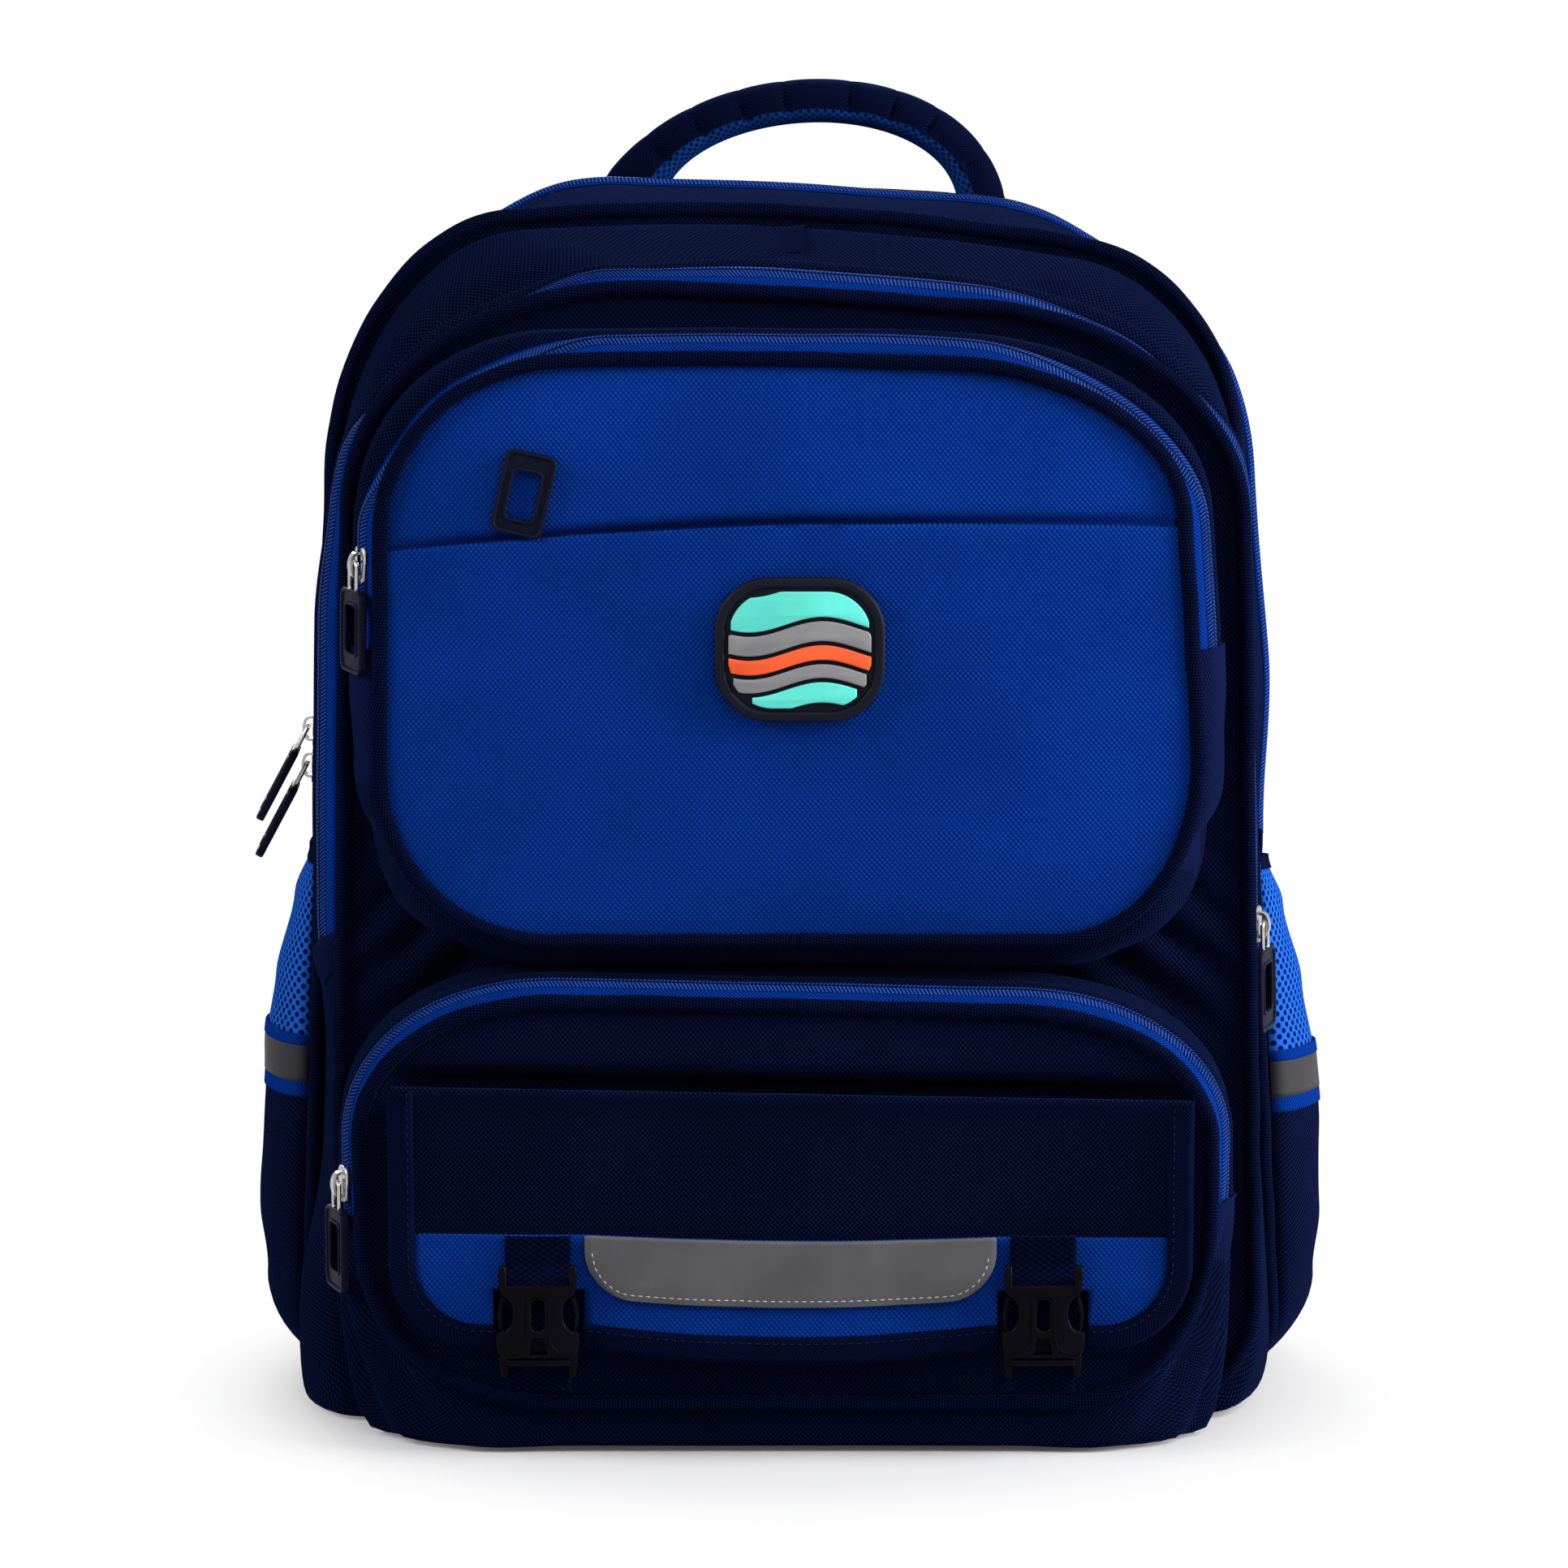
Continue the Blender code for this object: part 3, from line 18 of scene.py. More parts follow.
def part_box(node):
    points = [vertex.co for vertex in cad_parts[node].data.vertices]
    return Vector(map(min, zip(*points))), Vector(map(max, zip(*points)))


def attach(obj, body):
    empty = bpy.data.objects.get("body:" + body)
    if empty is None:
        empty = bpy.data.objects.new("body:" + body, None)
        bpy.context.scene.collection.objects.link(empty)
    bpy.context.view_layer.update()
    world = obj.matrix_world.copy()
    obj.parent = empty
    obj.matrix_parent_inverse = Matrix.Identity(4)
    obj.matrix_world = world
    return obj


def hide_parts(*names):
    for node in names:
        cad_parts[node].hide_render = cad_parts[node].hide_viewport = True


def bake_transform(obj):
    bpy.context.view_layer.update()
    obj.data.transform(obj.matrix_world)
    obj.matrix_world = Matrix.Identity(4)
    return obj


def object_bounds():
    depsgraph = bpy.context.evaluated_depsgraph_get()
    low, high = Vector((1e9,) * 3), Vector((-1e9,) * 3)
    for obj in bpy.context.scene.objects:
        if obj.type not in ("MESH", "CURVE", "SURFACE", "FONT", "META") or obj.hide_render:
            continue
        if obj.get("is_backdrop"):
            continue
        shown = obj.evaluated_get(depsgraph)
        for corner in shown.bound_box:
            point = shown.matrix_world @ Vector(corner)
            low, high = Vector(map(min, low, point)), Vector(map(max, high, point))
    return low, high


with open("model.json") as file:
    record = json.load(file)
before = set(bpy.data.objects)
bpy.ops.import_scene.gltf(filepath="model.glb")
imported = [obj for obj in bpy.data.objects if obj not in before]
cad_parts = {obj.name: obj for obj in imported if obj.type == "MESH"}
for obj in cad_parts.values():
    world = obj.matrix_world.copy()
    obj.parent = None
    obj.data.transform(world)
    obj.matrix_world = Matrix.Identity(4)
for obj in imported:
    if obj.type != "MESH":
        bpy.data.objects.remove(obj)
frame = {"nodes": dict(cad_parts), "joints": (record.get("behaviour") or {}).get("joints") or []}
cad_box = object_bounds()

# %% [markdown]
# ## Camera
# The photograph looks at the front from a little above, from far enough away that the sides hardly open
# up. A long lens does that: the focal length is written in pixels of the photograph, and the angle of
# view follows from half the frame.

# %% Camera at the photograph's angle
EYE = Vector((-0.0022, -2.35, 0.66))
AIM = Vector((-0.0022, -0.03, 0.213))
HALF_FRAME = 966.0
FOCAL_LENGTH = 8500.0

camera_data = bpy.data.cameras.new("photo_camera")
camera_data.angle = 2.0 * math.atan(HALF_FRAME / FOCAL_LENGTH)
camera = bpy.data.objects.new("photo_camera", camera_data)
looking = (AIM - EYE).to_track_quat("-Z", "Y").to_matrix().to_4x4()
camera.matrix_world = Matrix.Translation(EYE) @ looking
bpy.context.scene.collection.objects.link(camera)
bpy.context.scene.camera = camera
print("angle of view:", round(math.degrees(camera_data.angle), 2))

# %% [markdown]
# ## Light and floor
# A product photograph is lit by large soft boxes over a white sweep. Dark cloth needs a broad light above
# the front and one to each side, so that every roll of piping catches a line of light. The right side is
# lit more, by a smaller box level with the bag. A weak box hangs above, and the last one stands behind,
# so that the back can be seen too.

# %% Soft boxes
def add_soft_box(name, place, aim, size, power):
    """A square area light at a place, turned towards a point."""
    data = bpy.data.lights.new(name, "AREA")
    data.shape = "SQUARE"
    data.size = size
    data.energy = power
    lamp = bpy.data.objects.new(name, data)
    turn = (Vector(aim) - Vector(place)).to_track_quat("-Z", "Y").to_matrix().to_4x4()
    lamp.matrix_world = Matrix.Translation(place) @ turn
    bpy.context.scene.collection.objects.link(lamp)


add_soft_box("front_box", (0.6, -1.8, 1.7), (0.0, -0.05, 0.2), 1.0, 20.0)
add_soft_box("right_box", (1.5, -0.6, 1.3), (0.0, -0.05, 0.25), 0.8, 37.0)
add_soft_box("left_box", (-1.5, -0.6, 1.1), (0.0, -0.05, 0.25), 0.8, 35.0)
add_soft_box("top_box", (0.3, 0.5, 1.9), (0.0, 0.0, 0.35), 0.9, 3.0)
add_soft_box("rim_box", (1.8, -0.35, 0.5), (0.1, -0.05, 0.2), 0.6, 58.0)
add_soft_box("rear_box", (-0.5, 2.0, 1.0), (0.0, 0.05, 0.2), 1.0, 60.0)
print("soft boxes:", len(bpy.data.lights))

# %% [markdown]
# The room is bright where the camera looks at it, straight or in a gloss, and gives only a little light
# of its own to everything else.

# %% White room
ROOM_LIGHT = 0.27


def camera_or_mirror(tree):
    """A factor of one for what the camera sees, straight, in a gloss or through glass, else nothing."""
    path = tree.nodes.new("ShaderNodeLightPath")
    seen = path.outputs["Is Camera Ray"]
    for kind in ("Is Glossy Ray", "Is Transmission Ray"):
        larger = tree.nodes.new("ShaderNodeMath")
        larger.operation = "MAXIMUM"
        tree.links.new(seen, larger.inputs[0])
        tree.links.new(path.outputs[kind], larger.inputs[1])
        seen = larger.outputs[0]
    return seen


def show_by(tree, factor, first, second, output):
    """Send two shaders to an output node: the first at a factor of nothing, the second at one."""
    mix = tree.nodes.new("ShaderNodeMixShader")
    tree.links.new(factor, mix.inputs[0])
    tree.links.new(first.outputs[0], mix.inputs[1])
    tree.links.new(second.outputs[0], mix.inputs[2])
    tree.links.new(mix.outputs[0], tree.nodes[output].inputs["Surface"])


world = bpy.data.worlds.new("white_room")
world.use_nodes = True
bpy.context.scene.world = world
room_tree = world.node_tree
room = room_tree.nodes["Background"]
room.inputs["Color"].default_value = (1.0, 1.0, 1.0, 1.0)
room.inputs["Strength"].default_value = ROOM_LIGHT
sweep = room_tree.nodes.new("ShaderNodeBackground")
sweep.inputs["Strength"].default_value = 1.0
show_by(room_tree, camera_or_mirror(room_tree), room, sweep, "World Output")
print("room light:", ROOM_LIGHT)

# %% [markdown]
# The floor is lit like anything else and adds a glow of its own to camera rays. The glow is weak round the
# bag's foot, which keeps the soft shadow and adds a grey halo of painted shade there, and full a hand's
# breadth away, which makes the sweep white.

# %% Floor
FLOOR_HALF = 15.0
FLOOR_TONE = (0.44, 0.44, 0.455, 1.0)
FOOT_SIZE = (0.165, 0.125)
FOOT_MIDDLE_Y = -0.035
GLOW_STARTS = 0.80
GLOW_FULL = 1.35
LEAST_GLOW = 0.05

floor_mesh = bpy.data.meshes.new("floor")
floor_grid = bmesh.new()
bmesh.ops.create_grid(floor_grid, x_segments=1, y_segments=1, size=FLOOR_HALF)
floor_grid.to_mesh(floor_mesh)
floor_grid.free()
floor = bpy.data.objects.new("floor", floor_mesh)
bpy.context.scene.collection.objects.link(floor)
floor_paint = bpy.data.materials.new("pale_floor")
floor_paint.use_nodes = True
floor_tree = floor_paint.node_tree
floor_cloth = floor_tree.nodes["Principled BSDF"]
floor_cloth.inputs["Base Color"].default_value = FLOOR_TONE
floor_cloth.inputs["Roughness"].default_value = 1.0
floor_cloth.inputs["Specular IOR Level"].default_value = 0.0
glow = floor_tree.nodes.new("ShaderNodeEmission")
glow.inputs["Strength"].default_value = 1.0
spot = floor_tree.nodes.new("ShaderNodeTexCoord")
around = floor_tree.nodes.new("ShaderNodeMapping")
around.inputs["Location"].default_value = (0.0, -FOOT_MIDDLE_Y / FOOT_SIZE[1], 0.0)
around.inputs["Scale"].default_value = (1.0 / FOOT_SIZE[0], 1.0 / FOOT_SIZE[1], 1.0)
floor_tree.links.new(spot.outputs["Object"], around.inputs["Vector"])
reach = floor_tree.nodes.new("ShaderNodeVectorMath")
reach.operation = "LENGTH"
floor_tree.links.new(around.outputs["Vector"], reach.inputs[0])
# The weak glow round the foot lets the grey floor tone show there: painted shade, on top of the real shadow.
painted_shade_fade = floor_tree.nodes.new("ShaderNodeMapRange")
painted_shade_fade.interpolation_type = "SMOOTHSTEP"
painted_shade_fade.inputs["From Min"].default_value = GLOW_STARTS
painted_shade_fade.inputs["From Max"].default_value = GLOW_FULL
painted_shade_fade.inputs["To Min"].default_value = LEAST_GLOW
painted_shade_fade.inputs["To Max"].default_value = 1.0
floor_tree.links.new(reach.outputs["Value"], painted_shade_fade.inputs["Value"])
share = floor_tree.nodes.new("ShaderNodeMath")
share.operation = "MULTIPLY"
floor_tree.links.new(camera_or_mirror(floor_tree), share.inputs[0])
floor_tree.links.new(painted_shade_fade.outputs["Result"], share.inputs[1])
show_by(floor_tree, share.outputs[0], floor_cloth, glow, "Material Output")
floor_mesh.materials.append(floor_paint)
floor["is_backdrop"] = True
bpy.context.scene.view_settings.view_transform = "Standard"
print("floor side:", 2.0 * FLOOR_HALF)

# %% [markdown]
# ## Cloth, coil, rubber and metal
# The bag's cloth is a heavy polyester canvas: short floats of thick yarn, each row set off by half a
# float. Two waves multiplied, one along the floats and one over the rows, in metres of the cloth's own UV
# map, give the floats, the gaps between them and the relief. The colour follows the same waves: over the
# weave's own texture, the floats get a painted highlight and glint and the gaps get painted shade. Finer
# cloths use shorter waves and less contrast. A slow noise shifts the shade, because dyed cloth is never one
# colour.

# %% A short way to build node materials
SHEEN_TINT = (0.13, 0.26, 1.0, 1.0)
SHEEN_ROUGHNESS = 0.4


class Finish:
    """A material under construction, with short ways to add and join nodes."""

    def __init__(self, name, roughness, metallic=0.0, specular=0.3, sheen=0.0):
        self.material = bpy.data.materials.new(name)
        self.material.use_nodes = True
        self.tree = self.material.node_tree
        self.shader = self.tree.nodes["Principled BSDF"]
        self.shader.inputs["Roughness"].default_value = roughness
        self.shader.inputs["Metallic"].default_value = metallic
        self.shader.inputs["Specular IOR Level"].default_value = specular
        self.shader.inputs["Sheen Weight"].default_value = sheen
        self.shader.inputs["Sheen Roughness"].default_value = SHEEN_ROUGHNESS
        self.shader.inputs["Sheen Tint"].default_value = SHEEN_TINT

    def add(self, kind, **settings):
        node = self.tree.nodes.new(kind)
        for key, value in settings.items():
            setattr(node, key, value)
        return node

    def join(self, output, target):
        self.tree.links.new(output, target)

    def coordinates(self, space="UV", scale=(1.0, 1.0, 1.0), turn=0.0):
        """Surface coordinates, scaled and turned."""
        source = self.add("ShaderNodeTexCoord")
        mapping = self.add("ShaderNodeMapping")
        mapping.inputs["Scale"].default_value = scale
        mapping.inputs["Rotation"].default_value = (0.0, 0.0, turn)
        self.join(source.outputs[space], mapping.inputs["Vector"])
        return mapping.outputs["Vector"]

    def maths(self, operation, first, second=0.5):
        """One arithmetic node on an output and an output or a number."""
        node = self.add("ShaderNodeMath", operation=operation)
        self.join(first, node.inputs[0])
        if isinstance(second, (int, float)):
            node.inputs[1].default_value = second
        else:
            self.join(second, node.inputs[1])
        return node.outputs[0]

    def ramp(self, factor, stops):
        """Colours along a factor, as (place, colour) stops."""
        node = self.add("ShaderNodeValToRGB")
        elements = node.color_ramp.elements
        while len(elements) < len(stops):
            elements.new(1.0)
        for element, (place, colour) in zip(elements, stops):
            element.position = place
            element.color = (*colour, 1.0)
        self.join(factor, node.inputs["Fac"])
        return node.outputs["Color"]

    def blend(self, factor, first, second, mode="MIX"):
        """Mix two colours; each may be an output or a colour."""
        node = self.add("ShaderNodeMix", data_type="RGBA", blend_type=mode)
        if isinstance(factor, float):
            node.inputs["Factor"].default_value = factor
        else:
            self.join(factor, node.inputs["Factor"])
        for slot, colour in ((6, first), (7, second)):
            if isinstance(colour, tuple):
                node.inputs[slot].default_value = (*colour, 1.0)
            else:
                self.join(colour, node.inputs[slot])
        return node.outputs[2]

    def slow_shade(self, colour, amount, size):
        """The same colour, a little lighter and darker in patches of about a size."""
        patches = self.add("ShaderNodeTexNoise")
        patches.inputs["Scale"].default_value = 1.0 / size
        patches.inputs["Detail"].default_value = 3.0
        self.join(self.coordinates("Object"), patches.inputs["Vector"])
        low, high = 1.0 - amount, 1.0 + amount
        tint = self.ramp(patches.outputs["Fac"], [(0.30, (low, low, low)), (0.70, (high, high, high))])
        return self.blend(1.0, colour, tint, "MULTIPLY")

    def relief(self, height, depth):
        """Bump from a height output, in metres."""
        bump = self.add("ShaderNodeBump")
        bump.inputs["Strength"].default_value = 1.0
        bump.inputs["Distance"].default_value = depth
        self.join(height, bump.inputs["Height"])
        self.join(bump.outputs["Normal"], self.shader.inputs["Normal"])

    def paint(self, colour):
        """Take the colour from an output and hand over the finished material."""
        self.join(colour, self.shader.inputs["Base Color"])
        return self.material


def shade(colour, factor):
    """A colour made lighter or darker."""
    return tuple(min(value * factor, 1.0) for value in colour)


print("half the sheen tint:", shade(SHEEN_TINT[:3], 0.5))

# %% [markdown]
# Every navy and royal cloth of the bag is such a canvas, with floats, rows, contrast and depth of its own.

# %% Woven cloths
# The glints are painted highlights, added to the lightest colour of every yarn float.
YARN_PAINTED_GLINT = (0.0016, 0.0030, 0.0070)
ROYAL_PAINTED_GLINT = (0.0075, 0.0180, 0.0100)
CLOTH_SHEEN = 0.030
CLOTH_ROUGHNESS = 0.92


def woven(name, colour, float_length, row, contrast, depth, turn=0.0, painted_glint=YARN_PAINTED_GLINT):
    """Canvas: short floats of yarn in staggered rows, drawn in the cloth's own UV, in metres, with painted
    highlights on the floats and painted shade between them.
    """
    cloth = Finish(name, CLOTH_ROUGHNESS, specular=0.0, sheen=CLOTH_SHEEN)
    parts = cloth.add("ShaderNodeSeparateXYZ")
    cloth.join(cloth.coordinates("UV", turn=turn), parts.inputs[0])
    along = cloth.maths("SINE", cloth.maths("MULTIPLY", parts.outputs["X"], 2.0 * math.pi / float_length))
    over = cloth.maths("SINE", cloth.maths("MULTIPLY", parts.outputs["Y"], math.pi / row))
    floats = cloth.maths("MULTIPLY_ADD", cloth.maths("MULTIPLY", along, over), 0.5)
    floats.node.inputs[2].default_value = 0.5
    cloth.relief(floats, depth)
    # The floats are painted lighter with a glint (painted highlight) and the gaps darker (painted shade), on
    # top of the relief.
    painted_float_light = shade(colour, 1.0 + 1.1 * contrast)
    painted_float_highlight = tuple(value + extra * contrast for value, extra in zip(painted_float_light, painted_glint))
    stops = [(0.10, shade(colour, 1.0 - 0.80 * contrast)), (0.50, colour), (0.92, painted_float_highlight)]
    return cloth.paint(cloth.slow_shade(cloth.ramp(floats, stops), 0.12, 0.05))


NAVY = (0.0012, 0.0021, 0.0112)
ROYAL = (0.0010, 0.0166, 0.1370)
navy_canvas = woven("navy_canvas", NAVY, 0.0016, 0.0009, 0.80, 0.00028)
royal_canvas = woven("royal_canvas", ROYAL, 0.0017, 0.0010, 0.42, 0.00032, painted_glint=ROYAL_PAINTED_GLINT)
piping_cloth = woven("piping_cloth", shade(NAVY, 0.85), 0.0013, 0.0008, 0.60, 0.00018, turn=0.6)
binding_tape = woven("binding_tape", shade(NAVY, 0.90), 0.0012, 0.0007, 0.50, 0.00012)
handle_canvas = woven("handle_canvas", shade(NAVY, 0.90), 0.0012, 0.0007, 0.35, 0.00010)
webbing_weave = woven("webbing_weave", shade(NAVY, 0.80), 0.0030, 0.0010, 0.40, 0.00030)
tab_tape = woven("tab_tape", shade(NAVY, 1.70), 0.0024, 0.0006, 0.45, 0.00014)
zip_tape_weave = woven("zip_tape_weave", shade(ROYAL, 0.75), 0.0013, 0.0009, 0.70, 0.00016)
print("materials so far:", len(bpy.data.materials))

# %% [markdown]
# Air mesh is a knitted net over foam. Its holes sit in staggered rows, which is a cell pattern without any
# disorder, turned by 45 degrees: dark in the middle, with a raised net of yarn between. The reflective
# tape is smooth grey film with very fine glass beads, and rubber, plastic and metal only need a fine grain.

# %% Mesh, film, rubber, plastic, metal and thread
GLOSS_CHANGE = 0.25


def air_mesh(name, yarn, hole, pitch, depth):
    """Knitted net: round dark holes in staggered rows between raised yarns."""
    net = Finish(name, 0.85, specular=0.0)
    cells = net.add("ShaderNodeTexVoronoi", feature="F1")
    cells.inputs["Scale"].default_value = 1.0
    cells.inputs["Randomness"].default_value = 0.0
    place = net.coordinates("UV", (1.0 / pitch, 1.0 / pitch, 1.0), math.radians(45.0))
    net.join(place, cells.inputs["Vector"])
    ring = net.ramp(cells.outputs["Distance"], [(0.22, (0.0, 0.0, 0.0)), (0.40, (1.0, 1.0, 1.0))])
    net.relief(ring, depth)
    return net.paint(net.slow_shade(net.blend(ring, hole, yarn), 0.12, 0.03))


def grained(name, colour, roughness, grain, depth, metallic=0.0, specular=0.5):
    """A moulded or cast surface with a fine grain and a slow change of gloss."""
    body = Finish(name, roughness, metallic, specular)
    specks = body.add("ShaderNodeTexNoise")
    specks.inputs["Scale"].default_value = 1.0 / grain
    specks.inputs["Detail"].default_value = 4.0
    body.join(body.coordinates("Object"), specks.inputs["Vector"])
    body.relief(specks.outputs["Fac"], depth)
    rough = body.maths("MULTIPLY_ADD", specks.outputs["Fac"], GLOSS_CHANGE)
    rough.node.inputs[2].default_value = roughness - GLOSS_CHANGE / 2.0
    body.join(rough, body.shader.inputs["Roughness"])
    return body.paint(body.slow_shade(colour, 0.12, 0.02))


MESH_BLUE = (0.0085, 0.0600, 0.3100)
blue_mesh = air_mesh("blue_air_mesh", MESH_BLUE, shade(ROYAL, 0.20), 0.0029, 0.0006)
handle_mesh = air_mesh("handle_air_mesh", shade(MESH_BLUE, 0.36), shade(ROYAL, 0.25), 0.0019, 0.0004)
navy_mesh = air_mesh("navy_air_mesh", shade(NAVY, 2.0), shade(NAVY, 0.40), 0.0029, 0.0006)
film = grained("reflective_film", (0.062, 0.061, 0.065), 0.55, 0.0006, 0.00003, specular=0.06)
side_film = grained("side_reflective_film", (0.022, 0.021, 0.024), 0.55, 0.0006, 0.00003, specular=0.06)
puller_rubber = grained("puller_rubber", (0.0034, 0.0040, 0.0120), 0.42, 0.0005, 0.00003, specular=0.03)
buckle_plastic = grained("buckle_plastic", (0.0014, 0.0014, 0.0030), 0.38, 0.0006, 0.00002, specular=0.03)
slider_metal = grained("slider_metal", (0.46, 0.45, 0.44), 0.24, 0.0010, 0.00002, metallic=1.0)
thread_navy = grained("thread_navy", shade(NAVY, 2.2), 0.7, 0.0004, 0.00002, specular=0.05)
thread_grey = grained("thread_grey", (0.27, 0.27, 0.28), 0.7, 0.0004, 0.00002, specular=0.05)
board_sheet = grained("board_sheet", (0.010, 0.010, 0.011), 0.6, 0.0010, 0.00004)
print("materials so far:", len(bpy.data.materials))

# %% [markdown]
# ## Laying a cut panel
# A cut panel of cloth is a flat grid. Laying it means giving every grid point a place from its two shares,
# across and along. The UV map keeps the panel's own lengths in metres, so the weave has one size on every
# piece. A thickness turns the sheet into cloth with two faces.

# %% Lay cloth by a formula
BAG_MIDDLE = Vector((0.0, -0.02, 0.20))
FRONT = Vector((0.0, -1.0, 0.0))
REAR = Vector((0.0, 1.0, 0.0))


def run_lengths(points):
    """Lengths along a row of points, from zero."""
    lengths = [0.0]
    for before, after in zip(points, points[1:]):
        lengths.append(lengths[-1] + (after - before).length)
    return lengths


def make_object(name, mesh, material):
    """Link a finished mesh as an object at the origin."""
    mesh.materials.append(material)
    for polygon in mesh.polygons:
        polygon.use_smooth = True
    piece = bpy.data.objects.new(name, mesh)
    bpy.context.scene.collection.objects.link(piece)
    return piece


def close_bmesh(name, shape, material):
    """Write a bmesh to a new object."""
    mesh = bpy.data.meshes.new(name)
    shape.to_mesh(mesh)
    shape.free()
    return make_object(name, mesh, material)


def lay(name, columns, rows, place, material, thickness=0.0, facing=None, flat_map=False, drop=None):
    """A grid of cloth whose points are placed by place(across, along), shares from 0 to 1."""
    cloth = bmesh.new()
    bmesh.ops.create_grid(cloth, x_segments=columns, y_segments=rows, size=0.5)
    points = [[place(i / columns, k / rows) for k in range(rows + 1)] for i in range(columns + 1)]
    across = run_lengths([column[rows // 2] for column in points])
    along = [run_lengths(column) for column in points]
    uv_map = cloth.loops.layers.uv.new("UVMap")
    steps = {}
    for vertex in cloth.verts:
        steps[vertex] = (round((vertex.co.x + 0.5) * columns), round((vertex.co.y + 0.5) * rows))
    for vertex, (i, k) in steps.items():
        vertex.co = points[i][k]
    for face in cloth.faces:
        for loop in face.loops:
            i, k = steps[loop.vert]
            spot = loop.vert.co
            loop[uv_map].uv = (spot.x, spot.z) if flat_map else (across[i], along[i][k])
    if drop:
        gone = [face for face in cloth.faces if drop(face.calc_center_median())]
        bmesh.ops.delete(cloth, geom=gone, context="FACES")
    bmesh.ops.remove_doubles(cloth, verts=cloth.verts, dist=1e-6)
    cloth.normal_update()
    total = 0.0
    for face in cloth.faces:
        direction = facing if facing is not None else face.calc_center_median() - BAG_MIDDLE
        total += face.normal.dot(direction) * face.calc_area()
    if total < 0.0:
        bmesh.ops.reverse_faces(cloth, faces=cloth.faces)
        cloth.normal_update()
    if thickness:
        bmesh.ops.solidify(cloth, geom=list(cloth.faces), thickness=thickness)
    return close_bmesh(name, cloth, material)


def settle(piece, body, slot, *nodes):
    """Give a piece its body and hide the solids it stands for; the slot is not used."""
    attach(piece, body)
    if nodes:
        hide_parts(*nodes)
    return piece


def ripple(point, size, seed=0.0):
    """A smooth wander between about -1 and 1, in lumps of a size."""
    return noise.noise(Vector((point.x / size + seed, point.y / size - seed, point.z / size)))


print("ripple at the bag's middle:", round(ripple(BAG_MIDDLE, 0.05), 3))

# %% [markdown]
# ## Seam lines
# Each compartment of the bag ends in a seam with a roll of piping. A seam starts at the middle of its
# foot, runs up the right side, over the top and down the left. The corners are soft curves, and the full
# bag leans: its top slumps to the right, so the lines are lifted by a term that grows towards the top.
# Every seam has the same count of points in each stretch, so any two of them can be joined by a gusset.

# %% The five seams
SEAM_STRETCHES = (20, 18, 60, 28, 20)
CORNER_FULLNESS = 0.58
FOOT_SHARE = 0.35
TOP_SHARE = 0.55


def spread(start, end, count):
    """Evenly spaced points from start, leaving out end."""
    return [start.lerp(end, i / count) for i in range(count)]


